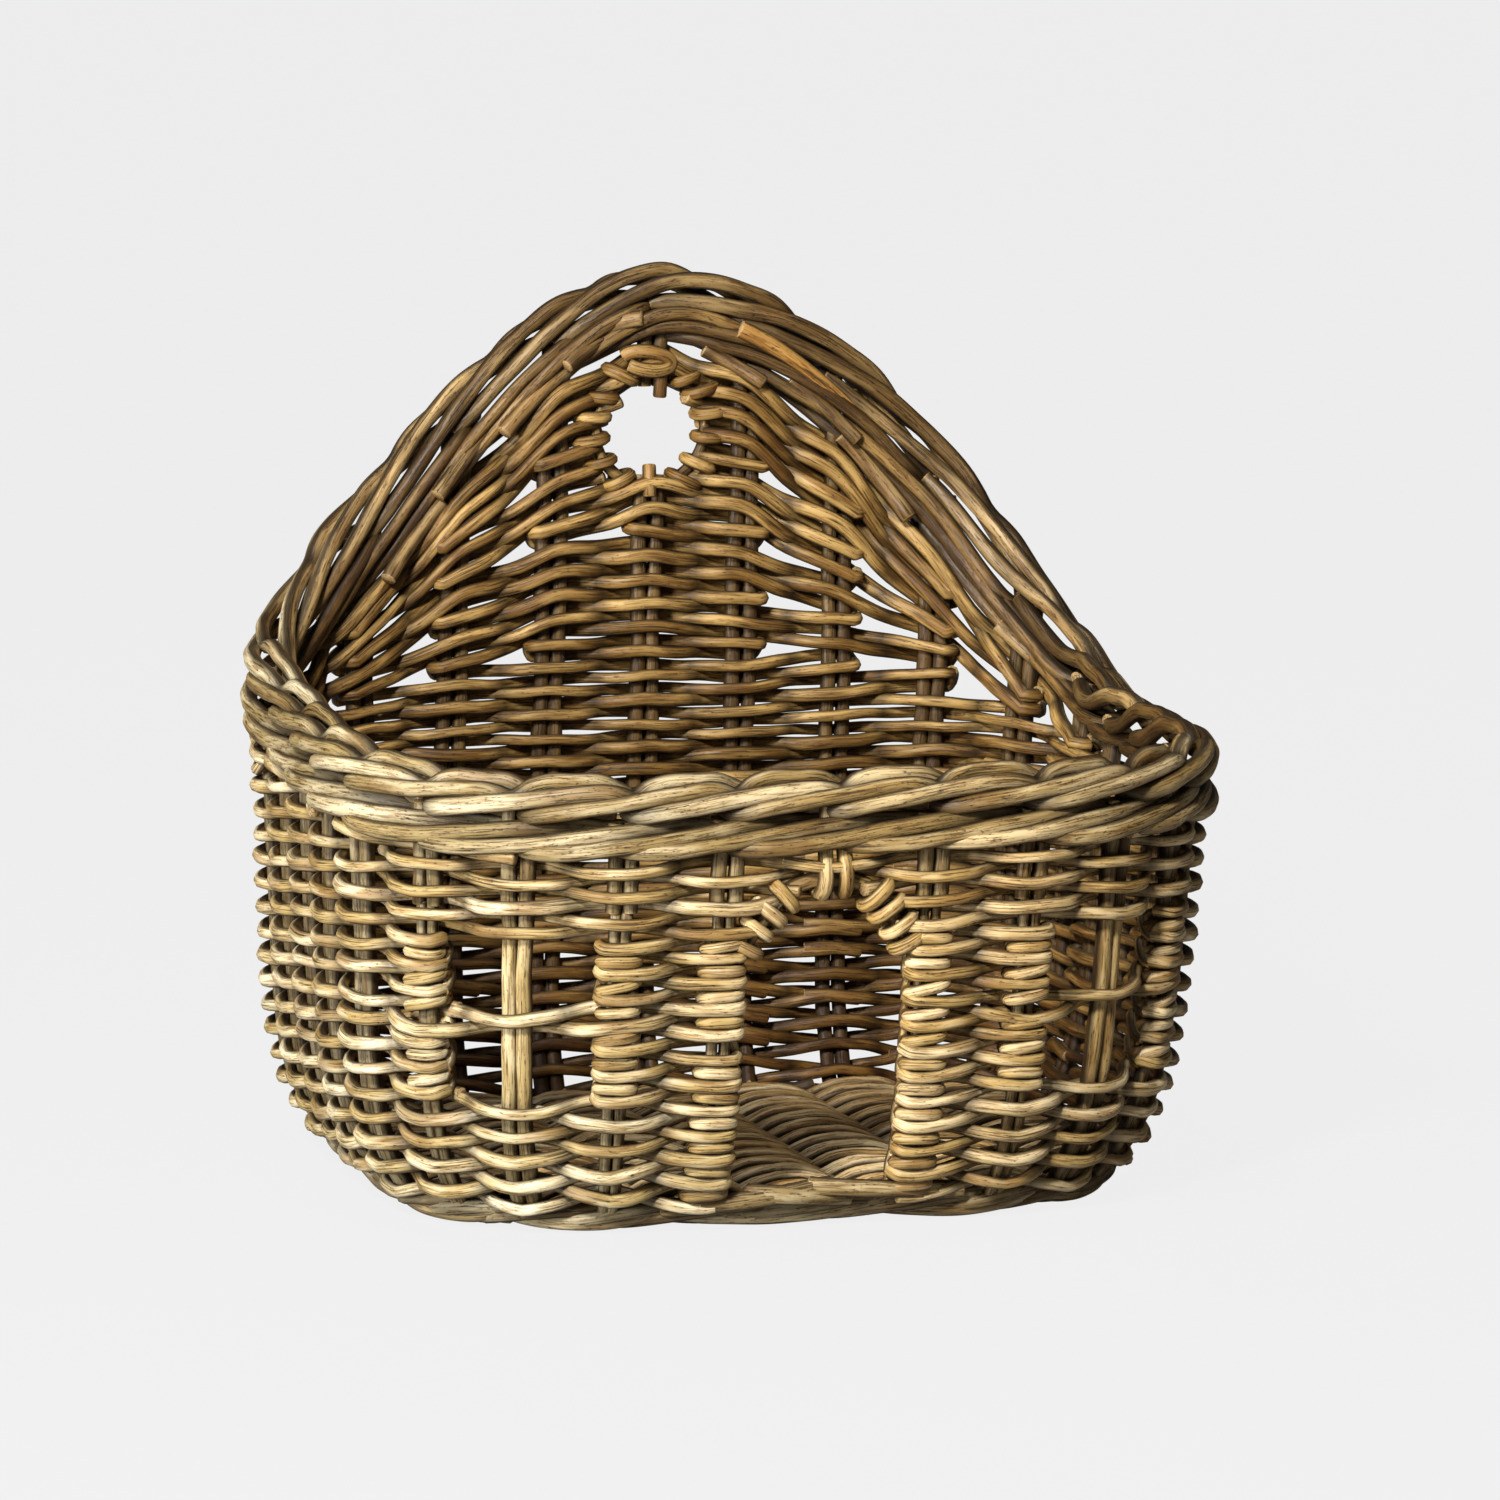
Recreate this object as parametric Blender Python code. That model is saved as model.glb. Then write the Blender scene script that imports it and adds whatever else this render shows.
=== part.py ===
"""A rattan basket woven like a small house: low front rim, arched back, doorway and two windows.

Lengths are in metres, +Z is up and the front faces -Y. Every piece of the wall is first shaped flat,
as (along, up, out): along the wall from the middle of its front, up from the table, and out from the
wall's middle surface. on_wall() then lays it on the basket. Stake pairs are numbered from the
middle of the front, right of it 1, 2, 3 and left of it -1, -2, -3; the last one is the middle of the back.
"""

import math

import bmesh
import bpy
from mathutils import Vector

# Plan of the wall's middle surface at the rim
half_width = 0.186
depth = 0.333
front_corner_radius = 0.117
back_corner_radius = 0.087
stake_pairs = 28

# How the wall leans out on its way up, turns in towards its foot, and drifts aside at foot and arch
wall_lean = 0.012
foot_turn_in = 0.028
foot_round_power = 5.0
foot_knot_shares = (0.0, 0.12, 0.27, 0.50, 1.0)
foot_drift = -0.004
arch_drift = 0.010

# Canes
stake_radius = 0.00385
stake_waist_share = 0.55
stake_flank_share = 0.40
weaver_diameter = 0.0054
bar_radius = 0.0027
rib_radius = 0.0030
row_pitch = 0.0053
stake_cover = 0.0018
crossing_reach = 0.0040

# Heights from the foot up, and how far the windows and the joint behind the arch lie below the rim
base_border_height = 0.012
door_sill_height = 0.020
rim_centre_height = 0.186
arch_centre_height = 0.3690
window_head_drop = 0.057
window_height = 0.070
back_split_drop = 0.016

# Share of the rise from the front rim to the top of the arch at stakes 0 to 14
left_rise_shares = (0, 0, 0, 0, 0.01, 0.04, 0.06, 0.08, 0.11, 0.165, 0.26, 0.46, 0.72, 0.915, 1)
right_rise_shares = (0, 0, 0, 0, 0, 0, 0.005, 0.01, 0.02, 0.085, 0.26, 0.54, 0.78, 0.935, 1)

# Sections of the border, the wale under it and the base border
border_half_height = 0.0095
border_half_width = 0.0115
wale_height = 0.0165
wale_half_width = 0.0105
base_border_half_width = 0.0100
round_row_shares = (0.0, 0.16, 0.50, 0.84, 1.0)
round_reach_shares = (0.58, 0.90, 1.0, 0.90, 0.58)

# Doorway, windows and hanging hole
post_cover = 0.0030
door_arch_rise = 0.0170
door_wrap_thickness = 0.0095
door_wrap_foot_thickness = 0.0027
door_wrap_half_width = 0.0085
bar_spread = 0.0032
bar_rise = 0.0030
hole_drop = 0.064
hole_radius = 0.0187
hole_wrap_thickness = 0.0088
hole_wrap_half_width = 0.0095
hole_wrap_half_turn = math.radians(62)

# Floor
floor_underside = 0.0015
floor_thickness = 0.0130
floor_rib_pairs = 5
floor_row_pitch = 0.0088
rib_cover = 0.0010
floor_crossing_reach = 0.0032

# Where the bands are parted, by stake number
front_end_stake = 5
arch_start_stake = 10

gap = 0.0003
overrun = 0.020
merge_distance = gap / 10

# How finely curves are cut into faces
arch_sides = 12
pair_sides = 8
bar_steps = 8
bar_ring_steps = 2
smooth_angle = math.radians(40)

# Worked out from the sizes above
pair_half_width = 2 * stake_radius
wall_half_thickness = stake_radius + weaver_diameter
stake_reach = stake_radius + gap + stake_cover
column_reach = pair_half_width + gap + post_cover
front_flat = half_width - front_corner_radius
front_arc = front_corner_radius * math.pi / 2
side_flat = depth - front_corner_radius - back_corner_radius
back_arc = back_corner_radius * math.pi / 2
back_flat = half_width - back_corner_radius
wall_length = 2 * (front_flat + front_arc + side_flat + back_arc + back_flat)
stake_spacing = wall_length / stake_pairs
back_stake = stake_pairs // 2
window_head_height = rim_centre_height - window_head_drop
window_sill_height = window_head_height - window_height
window_middle_height = window_head_height - window_height / 2
foot_round_height = window_head_height
back_split_height = rim_centre_height - back_split_drop
hole_height = arch_centre_height - hole_drop
door_half_width = stake_spacing - column_reach
floor_top = floor_underside + floor_thickness
rib_height = (floor_underside + floor_top) / 2
floor_rib_reach = rib_radius + gap + rib_cover
foot_knots = [share * foot_round_height for share in foot_knot_shares]
all_columns = [stake * stake_spacing + side * column_reach for stake in range(stake_pairs) for side in (-1, 1)]


def between(low, high, share):
    return low + (high - low) * share


def foot_inset(up):
    """How far the wall stands inside its rim at a height on the smooth profile."""
    lean = wall_lean * (1 - up / rim_centre_height)
    turned = max(0.0, 1 - up / foot_round_height) ** foot_round_power
    return lean + foot_turn_in * turned


def inset_at(up):
    """The same, straight between the knots, so that pieces of any height lie alike."""
    for low, high in zip(foot_knots, foot_knots[1:]):
        if up <= high:
            return between(foot_inset(low), foot_inset(high), (up - low) / (high - low))
    return foot_inset(up)


def plan_at(run):
    """Point and outward angle on the right half of the plan, a run along from the front's middle."""
    if run <= front_flat:
        return run, 0.0, 0.0
    run -= front_flat
    if run <= front_arc:
        angle = run / front_corner_radius
        x = front_flat + front_corner_radius * math.sin(angle)
        return x, front_corner_radius * (1 - math.cos(angle)), angle
    run -= front_arc
    if run <= side_flat:
        return half_width, front_corner_radius + run, math.pi / 2
    run -= side_flat
    if run <= back_arc:
        angle = run / back_corner_radius
        x = half_width - back_corner_radius * (1 - math.cos(angle))
        return x, depth - back_corner_radius * (1 - math.sin(angle)), math.pi / 2 + angle
    run -= back_arc
    return back_flat - run, depth, math.pi


def drift_at(up):
    """How far the wall stands aside at a height; it is plumb at the top of the foot's curve."""
    if up < foot_round_height:
        return foot_drift * (1 - up / foot_round_height)
    return arch_drift * (up - foot_round_height) / (arch_centre_height - foot_round_height)


def wall_point(along, up, out):
    """A flat (along, up, out) as a point round a wall whose front middle is at zero."""
    turn = (along + wall_length / 2) % wall_length - wall_length / 2
    side = math.copysign(1.0, turn)
    x, y, angle = plan_at(abs(turn))
    outward = out - inset_at(up)
    x = side * (x + outward * math.sin(angle)) + drift_at(up)
    return Vector((x, y - outward * math.cos(angle), up))


def rise_share(stake):
    """Share of the arch's rise at a stake pair."""
    stake = (stake + back_stake) % stake_pairs - back_stake
    shares = right_rise_shares if stake >= 0 else left_rise_shares
    return shares[abs(stake)]


def smooth_rim(along):
    """Height of the border's centre line, as a smooth curve through the stakes."""
    stakes = along / stake_spacing
    first = math.floor(stakes)
    a, b, c, d = (rise_share(first + step) for step in (-1, 0, 1, 2))
    t = stakes - first
    share = b + t / 2 * (c - a + t * (2 * a - 5 * b + 4 * c - d + t * (3 * (b - c) + d - a)))
    return between(rim_centre_height, arch_centre_height, share)


def outward_angle(along):
    """Direction that the wall faces at a place along it, as an angle from the front's."""
    turn = (along + wall_length / 2) % wall_length - wall_length / 2
    return math.copysign(plan_at(abs(turn))[2], turn)


def below_rim(along, distance, seats):
    """Height at a distance square below the border's centre line, at a column.

    Where the rim climbs round a corner its seats are twisted, so each one above this line adds room.
    """
    step = stake_spacing / 4
    slope = (smooth_rim(along + step) - smooth_rim(along - step)) / (2 * step)
    bend = (outward_angle(along + step) - outward_angle(along - step)) / 2
    twist = border_half_width * round_reach_shares[0] * abs(slope * math.sin(bend))
    return smooth_rim(along) - distance * math.sqrt(1 + slope * slope) - seats * twist


def columns_around(along):
    """The columns on either side of a place along the wall; none goes through a stake."""
    nearest = round(along / stake_spacing) * stake_spacing
    if abs(along - nearest) <= column_reach:
        return nearest - column_reach, nearest + column_reach
    if along > nearest:
        return nearest + column_reach, nearest + stake_spacing - column_reach
    return nearest - stake_spacing + column_reach, nearest - column_reach


def rim_line(distance, seats=0):
    """A height along the wall at a distance below the border's centre line, straight between columns."""
    def height(along):
        low, high = columns_around(along)
        share = (along - low) / (high - low)
        return between(below_rim(low, distance, seats), below_rim(high, distance, seats), share)
    return height


def line_under(line):
    """A line along the wall lowered where a straight run from a stake to the next middle would cut it."""
    def height(along):
        steps = (-stake_spacing / 2, stake_spacing / 2)
        sags = [(line(along) + line(along + step)) / 2 - line(along + step / 2) for step in steps]
        return line(along) - max(0.0, *sags)
    return height


def columns_between(start, end):
    """Both ends of a band, half a gap short, with the columns between them."""
    first = math.floor(start / stake_spacing)
    last = math.ceil(end / stake_spacing)
    places = [stake * stake_spacing + side * column_reach
              for stake in range(first, last + 1) for side in (-1, 1)]
    inner = [place for place in places if start + column_reach / 2 < place < end - column_reach / 2]
    return [start + gap / 2] + inner + [end - gap / 2]


def crossings_between(start, end):
    """Both ends of a band of weave, half a gap short, with its stakes and the middles between them."""
    halves = range(math.floor(2 * start / stake_spacing), math.ceil(2 * end / stake_spacing) + 1)
    places = [half * stake_spacing / 2 for half in halves]
    inner = [place for place in places if start + column_reach / 2 < place < end - column_reach / 2]
    return [start + gap / 2] + inner + [end - gap / 2]


def column_after(stake):
    return stake * stake_spacing + column_reach


def column_before(stake):
    return stake * stake_spacing - column_reach


def origin_place():
    """Middle of the border's and the foot's reach in the plan, which becomes the part's origin."""
    rim = [wall_point(along, smooth_rim(along), border_half_width) for along in all_columns]
    x_middle = (min(point.x for point in rim) + max(point.x for point in rim)) / 2
    y_middle = (min(point.y for point in rim) + max(point.y for point in rim)) / 2
    return Vector((x_middle, y_middle, 0))


origin = origin_place()


def on_wall(flat):
    return wall_point(flat.x, flat.y, flat.z) - origin


def height_of(row, along):
    return row(along) if callable(row) else row


def knots_between(low, high):
    return [knot for knot in foot_knots if low < knot < high]


def face_out(shape):
    """Turns every face of a closed shape outwards."""
    bmesh.ops.recalc_face_normals(shape, faces=shape.faces[:])
    if shape.calc_volume(signed=True) < 0:
        bmesh.ops.reverse_faces(shape, faces=shape.faces[:])


def even_reach(shares, half_thickness):
    """The same thickness along each row, for flat_slab()."""
    def reach(row, stop, face):
        return half_thickness * shares[row]
    return reach


def flat_slab(stops, rows, reach):
    """Closed slab in flat coordinates over a grid of stops along the wall and rows of heights.

    reach(row, stop, face) is how far its outer (1) or inner (-1) face stands from the middle.
    """
    shape = bmesh.new()
    bmesh.ops.create_grid(shape, x_segments=len(stops) - 1, y_segments=len(rows) - 1, size=1)
    places = {}
    for vert in shape.verts:
        stop = round((vert.co.x + 1) / 2 * (len(stops) - 1))
        row = round((vert.co.y + 1) / 2 * (len(rows) - 1))
        places[vert] = (row, stops[stop])
    for vert, (row, stop) in places.items():
        vert.co = (stop, height_of(rows[row], stop), -reach(row, stop, -1))
    grid_places = {tuple(vert.co): place for vert, place in places.items()}
    raised = bmesh.ops.extrude_face_region(shape, geom=shape.faces[:])["geom"]
    for item in raised:
        if isinstance(item, bmesh.types.BMVert):
            row, stop = grid_places[tuple(item.co)]
            item.co.z = reach(row, stop, 1)
    for face in shape.faces[:]:
        corners = sorted(face.verts, key=lambda vert: (vert.co.x, vert.co.z))
        if corners[0].co.z < 0 < corners[-1].co.z and corners[0].co.x < corners[-1].co.x:
            bmesh.utils.face_split(face, corners[0], corners[-1])
    face_out(shape)
    return shape


def flat_ring_arc(centre_along, centre_up, angles, inner, outer, half_thickness):
    """Closed arc in flat coordinates between an inner and an outer ellipse, rounded over its rim."""
    def place(angle, share):
        across = between(inner[0], outer[0], share)
        rise = between(inner[1], outer[1], share)
        return centre_along + across * math.cos(angle), centre_up + rise * math.sin(angle)

    shape = bmesh.new()
    rows = round_row_shares
    bmesh.ops.create_grid(shape, x_segments=len(angles) - 1, y_segments=len(rows) - 1, size=1)
    for vert in shape.verts:
        angle = angles[round((vert.co.x + 1) / 2 * (len(angles) - 1))]
        row = round((vert.co.y + 1) / 2 * (len(rows) - 1))
        along, up = place(angle, rows[row])
        vert.co = (along, up, -half_thickness * round_reach_shares[row])
    raised = bmesh.ops.extrude_face_region(shape, geom=shape.faces[:])["geom"]
    for item in raised:
        if isinstance(item, bmesh.types.BMVert):
            item.co.z = -item.co.z
    face_out(shape)
    return shape


def flat_pair(along, low, high, radius, waist_share):
    """Two canes side by side as one closed rod in flat coordinates."""
    shape = bmesh.new()
    bmesh.ops.create_cone(shape, cap_ends=True, segments=pair_sides, radius1=1, radius2=1, depth=2)
    for vert in shape.verts:
        across, out, end = vert.co
        if abs(across) > 0.9:
            place = (math.copysign(stake_radius + radius, across), 0.0)
        elif abs(across) < 0.1:
            place = (0.0, math.copysign(radius * waist_share, out))
        else:
            place = (math.copysign(stake_radius + radius * stake_flank_share, across),
                     math.copysign(radius, out))
        foot = along + place[0]
        up = height_of(high if end > 0 else low, foot)
        vert.co = (foot, up, place[1])
    lowest = min(vert.co.y for vert in shape.verts)
    highest = max(vert.co.y for vert in shape.verts)
    for knot in knots_between(lowest, highest):
        bmesh.ops.bisect_plane(shape, geom=shape.verts[:] + shape.edges[:] + shape.faces[:],
                               plane_co=(0, knot, 0), plane_no=(0, 1, 0))
    face_out(shape)
    return shape


def flat_block(low, high, half_thickness):
    """Closed block in flat coordinates between two (along, up) corners, parted at the knots."""
    shape = bmesh.new()
    bmesh.ops.create_cube(shape, size=2)
    for vert in shape.verts:
        along = high[0] if vert.co.x > 0 else low[0]
        up = high[1] if vert.co.y > 0 else low[1]
        vert.co = (along, up, math.copysign(half_thickness, vert.co.z))
    for knot in knots_between(low[1], high[1]):
        bmesh.ops.bisect_plane(shape, geom=shape.verts[:] + shape.edges[:] + shape.faces[:],
                               plane_co=(0, knot, 0), plane_no=(0, 1, 0))
    return shape


def flat_disc(along, up, reach, half_thickness, sides):
    """Closed elliptical plug in flat coordinates."""
    shape = bmesh.new()
    bmesh.ops.create_cone(shape, cap_ends=True, segments=sides, radius1=1, radius2=1, depth=2)
    for vert in shape.verts:
        vert.co = (along + reach[0] * vert.co.x, up + reach[1] * vert.co.y, half_thickness * vert.co.z)
    return shape


def clear_scene():
    for item in list(bpy.data.objects):
        bpy.data.objects.remove(item)


def make_collection(name):
    collection = bpy.data.collections.new(name)
    bpy.context.scene.collection.children.link(collection)
    return collection


def make_finish(name, colour, roughness):
    finish = bpy.data.materials.new(name)
    finish.use_nodes = True
    shader = finish.node_tree.nodes["Principled BSDF"]
    shader.inputs["Base Color"].default_value = (*colour, 1)
    shader.inputs["Roughness"].default_value = roughness
    shader.inputs["Metallic"].default_value = 0
    return finish


clear_scene()
basket = make_collection("basket")
cutters = make_collection("cutters")
carrier = bpy.data.objects.new("basket_carrier", None)
basket.objects.link(carrier)

stake_finish = make_finish("stake_cane", (0.36, 0.25, 0.14), 0.55)
weave_finish = make_finish("weaving_cane", (0.42, 0.31, 0.18), 0.50)
border_finish = make_finish("border_cane", (0.50, 0.39, 0.24), 0.45)
floor_finish = make_finish("floor_cane", (0.34, 0.23, 0.12), 0.55)


def mesh_from(shape, name):
    mesh = bpy.data.meshes.new(name)
    shape.to_mesh(mesh)
    shape.free()
    return mesh


def add_cutter(shape, name):
    cutter = bpy.data.objects.new(name, mesh_from(shape, name))
    cutter.hide_render = True
    cutter.display_type = "WIRE"
    cutters.objects.link(cutter)
    return cutter


def cut_mesh(mesh, tools):
    """The mesh with each of the cutters taken out of it."""
    if not tools:
        return mesh
    blank = bpy.data.objects.new("blank", mesh)
    cutters.objects.link(blank)
    for tool in tools:
        cut = blank.modifiers.new(tool.name, "BOOLEAN")
        cut.operation = "DIFFERENCE"
        cut.solver = "EXACT"
        cut.object = tool
    bpy.context.view_layer.update()
    ready = blank.evaluated_get(bpy.context.evaluated_depsgraph_get())
    result = bpy.data.meshes.new_from_object(ready)
    bpy.data.objects.remove(blank)
    shape = bmesh.new()
    shape.from_mesh(result)
    bmesh.ops.remove_doubles(shape, verts=shape.verts[:], dist=merge_distance)
    shape.to_mesh(result)
    shape.free()
    return result


def add_part(name, mesh, finish):
    """A piece with its origin at its own middle, carried by the basket's empty."""
    corners = [vert.co for vert in mesh.vertices]
    middle = Vector([(min(c[k] for c in corners) + max(c[k] for c in corners)) / 2 for k in range(3)])
    for vert in mesh.vertices:
        vert.co -= middle
    mesh.name = name
    mesh.materials.clear()
    mesh.materials.append(finish)
    mesh.shade_smooth()
    mesh.set_sharp_from_angle(angle=smooth_angle)
    part = bpy.data.objects.new(name, mesh)
    part.location = middle
    part.parent = carrier
    basket.objects.link(part)
    return part


def add_wall_part(name, shape, finish, tools=()):
    """A flat shape, cut and then bent to the wall."""
    mesh = cut_mesh(mesh_from(shape, name), tools)
    for vert in mesh.vertices:
        vert.co = on_wall(vert.co)
    return add_part(name, mesh, finish)


stake_top = rim_line(border_half_height + gap, 1)
weave_top = line_under(rim_line(border_half_height + wale_height + 2 * gap, 2))
weave_shoulder = line_under(rim_line(border_half_height + wale_height + 2 * gap + weaver_diameter, 2))
wale_rows = [rim_line(between(border_half_height + gap + wale_height, border_half_height + gap, share), 1)
             for share in round_row_shares]
border_rows = [rim_line(between(border_half_height, -border_half_height, share))
               for share in round_row_shares]

front_start = column_before(-front_end_stake)
front_end = column_after(front_end_stake)
arch_start = column_before(arch_start_stake)
arch_end = column_after(stake_pairs - arch_start_stake)
window_near = column_after(2)
window_far = column_before(4)


def channels(first, last, label):
    """Cutters for the stake pairs from first to last, each a gap wider than its pair."""
    tools = []
    for stake in range(first, last + 1):
        shape = flat_pair(stake * stake_spacing, -overrun, arch_centre_height + overrun,
                          stake_radius + gap, 1.0)
        tools.append(add_cutter(shape, f"{label}_channel_{stake}"))
    return tools


def door_cutter():
    return add_cutter(flat_block((-door_half_width, door_sill_height),
                                 (door_half_width, window_sill_height + overrun), overrun), "door_cutter")


def door_arch_cutter():
    reach = (door_half_width + gap, door_arch_rise + door_wrap_thickness + gap)
    return add_cutter(flat_disc(0.0, window_head_height, reach, overrun, 2 * arch_sides), "door_arch_cutter")


def hole_cutter():
    reach = hole_radius + hole_wrap_thickness + gap
    return add_cutter(flat_disc(wall_length / 2, hole_height, (reach, reach), overrun, 2 * arch_sides),
                      "hole_cutter")


def add_base_border():
    """The thick cane round the foot, parted at the middle of its front and back."""
    rows = [0.0, base_border_height]
    for name, start, end in (("base_border_right", 0.0, wall_length / 2),
                             ("base_border_left", -wall_length / 2, 0.0)):
        shape = flat_slab(columns_between(start, end), rows, even_reach((1, 1), base_border_half_width))
        add_wall_part(name, shape, border_finish)


def woven_band(start, end, low, high):
    """Closed band of weave: each of its rows swells out round every other stake pair.

    Under the wale its last canes tuck in. Where the rows crowd together they swell less.
    """
    stops = crossings_between(start, end)
    tucked = callable(high)
    shoulder = weave_shoulder if tucked else high
    usual_height = sum(height_of(shoulder, stop) for stop in stops) / len(stops) - low
    count = max(1, round(usual_height / row_pitch))

    def row_at(share):
        def height(along):
            return between(low, height_of(shoulder, along), share)
        return height

    rows = [low] + [row_at((row + 0.5) / count) for row in range(count)] + [shoulder]
    if tucked:
        rows.append(high)

    def reach(row, stop, face):
        if row > count + 1:
            return wall_half_thickness * round_reach_shares[0]
        stake = round(stop / stake_spacing)
        if abs(stop - stake * stake_spacing) > column_reach + gap:
            return crossing_reach
        middle = between(stake_reach, wall_half_thickness, 0.5)
        if row in (0, count + 1):
            return middle
        room = min(1.0, (height_of(shoulder, stop) - low) / count / row_pitch)
        side = 1 if (stake + row) % 2 == 0 else -1
        return between(middle, wall_half_thickness if side == face else stake_reach, room)

    return flat_slab(stops, rows, reach)


def add_weave():
    foot = base_border_height + gap
    add_wall_part("foot_weave_front", woven_band(front_start, front_end, foot, window_sill_height), weave_finish,
                  channels(-front_end_stake, front_end_stake, "foot_front") + [door_cutter()])
    add_wall_part("foot_weave_back_and_sides", woven_band(front_end, wall_length + front_start, foot,
                  window_sill_height), weave_finish,
                  channels(front_end_stake + 1, stake_pairs - front_end_stake - 1, "foot_back"))

    sill = window_sill_height + gap
    for side, label in ((-1, "left"), (1, "right")):
        ends = sorted((side * door_half_width, side * window_near))
        stakes = sorted((side, side * 2))
        add_wall_part(f"door_pier_weave_{label}", woven_band(*ends, sill, window_head_height - gap),
                      weave_finish, channels(*stakes, f"pier_{label}"))

    add_wall_part("front_weave_above_windows", woven_band(-window_far, window_far, window_head_height, weave_top),
                  weave_finish, channels(-3, 3, "above") + [door_arch_cutter()])

    add_wall_part("side_weave_right", woven_band(window_far, arch_start, sill, weave_top),
                  weave_finish, channels(4, arch_start_stake - 1, "side_right"))
    add_wall_part("side_weave_left", woven_band(-arch_start, -window_far, sill, weave_top),
                  weave_finish, channels(1 - arch_start_stake, -4, "side_left"))

    last = stake_pairs - arch_start_stake
    add_wall_part("back_weave", woven_band(arch_start, arch_end, sill, back_split_height), weave_finish,
                  channels(arch_start_stake, last, "back"))
    add_wall_part("arch_weave", woven_band(arch_start, arch_end, back_split_height + gap, weave_top), weave_finish,
                  channels(arch_start_stake, last, "arch") + [hole_cutter()])


def add_rim():
    """The wale and the rolled border over it, which meet end to end round the rim."""
    low_end, high_end = -arch_start, arch_start
    wale_reach = even_reach(round_reach_shares, wale_half_width)
    add_wall_part("wale_front_and_sides", flat_slab(columns_between(low_end, high_end), wale_rows, wale_reach),
                  border_finish,
                  channels(1 - arch_start_stake, arch_start_stake - 1, "wale"))
    add_wall_part("wale_arch", flat_slab(columns_between(arch_start, arch_end), wale_rows, wale_reach),
                  border_finish,
                  channels(arch_start_stake, stake_pairs - arch_start_stake, "wale_arch"))
    runs = (("border_front", front_start, front_end), ("border_right", front_end, high_end),
            ("border_arch", arch_start, arch_end), ("border_left", low_end, front_start))
    for name, start, end in runs:
        shape = flat_slab(columns_between(start, end), border_rows,
                          even_reach(round_reach_shares, border_half_width))
        add_wall_part(name, shape, border_finish)


def stake_name(stake):
    side = "right" if stake > 0 else "left"
    place = abs(stake)
    front_names = {1: "door_post", 2: "window_inner_post", 3: "window_mullion", 4: "window_outer_post"}
    if place in front_names:
        return f"{front_names[place]}_{side}"
    if place < arch_start_stake:
        return f"side_stake_{side}_{place - 4}"
    if place == arch_start_stake:
        return f"corner_stake_{side}"
    return f"back_stake_{side}_{back_stake - place}"


def add_stakes():
    """Pairs of upright canes from the base border to the rolled border."""
    low = base_border_height + gap
    whole = [stake for stake in range(1 - back_stake, back_stake) if stake != 0]
    for stake in whole:
        shape = flat_pair(stake * stake_spacing, low, stake_top, stake_radius, stake_waist_share)
        add_wall_part(stake_name(stake), shape, stake_finish)
    door_top = window_head_height + door_arch_rise + door_wrap_thickness + gap
    add_wall_part("door_head_stake", flat_pair(0.0, door_top + gap, stake_top, stake_radius, stake_waist_share),
                  stake_finish)
    middle = wall_length / 2
    add_wall_part("back_centre_stake_lower", flat_pair(middle, low, hole_height - hole_radius, stake_radius,
                  stake_waist_share), stake_finish)
    add_wall_part("back_centre_stake_upper", flat_pair(middle, hole_height + hole_radius, stake_top, stake_radius,
                  stake_waist_share), stake_finish)


def add_door_wrap():
    """The wrapped cane that arches over the doorway."""
    angles = [math.pi * step / arch_sides for step in range(arch_sides + 1)]
    inner = (door_half_width - door_wrap_foot_thickness, door_arch_rise)
    outer = (door_half_width, door_arch_rise + door_wrap_thickness)
    shape = flat_ring_arc(0.0, window_head_height, angles, inner, outer, door_wrap_half_width)
    add_wall_part("door_arch_wrap", shape, weave_finish)


def add_hole_wraps():
    """Coils of cane on either side of the hanging hole, parted by the cut ends of the centre stake."""
    inner = (hole_radius, hole_radius)
    outer = (hole_radius + hole_wrap_thickness, hole_radius + hole_wrap_thickness)
    steps = arch_sides // 2
    for name, middle in (("hanging_hole_wrap_right", math.pi), ("hanging_hole_wrap_left", 0.0)):
        angles = [middle + hole_wrap_half_turn * (2 * step / steps - 1) for step in range(steps + 1)]
        shape = flat_ring_arc(wall_length / 2, hole_height, angles, inner, outer, hole_wrap_half_width)
        add_wall_part(name, shape, weave_finish)


def add_window_bars():
    """Two weavers cross each window, one before and one behind its mullion."""
    clear_of_mullion = stake_radius + bar_radius + gap
    start = window_near + gap
    end = window_far - gap
    for side, label in ((-1, "left"), (1, "right")):
        for face, place in ((1, "outer"), (-1, "inner")):
            line = bpy.data.curves.new("bar", "CURVE")
            line.dimensions = "3D"
            line.bevel_depth = bar_radius
            line.bevel_resolution = bar_ring_steps
            line.use_fill_caps = True
            spline = line.splines.new("POLY")
            spline.points.add(bar_steps)
            for step, point in enumerate(spline.points):
                share = step / bar_steps
                bow = between(bar_spread, clear_of_mullion, math.sin(math.pi * share) ** 2)
                up = window_middle_height + face * bar_rise * (2 * share - 1)
                point.co = (side * between(start, end, share), up, face * bow, 1)
            guide = bpy.data.objects.new("bar", line)
            basket.objects.link(guide)
            bpy.context.view_layer.update()
            ready = guide.evaluated_get(bpy.context.evaluated_depsgraph_get())
            shape = bmesh.new()
            shape.from_mesh(bpy.data.meshes.new_from_object(ready))
            bpy.data.objects.remove(guide)
            bmesh.ops.remove_doubles(shape, verts=shape.verts[:], dist=merge_distance)
            face_out(shape)
            add_wall_part(f"window_bar_{label}_{place}", shape, weave_finish)


def floor_point(along, up):
    """A place on the floor's edge, a gap inside the base border."""
    return wall_point(along, up, -(base_border_half_width + gap))


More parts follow.
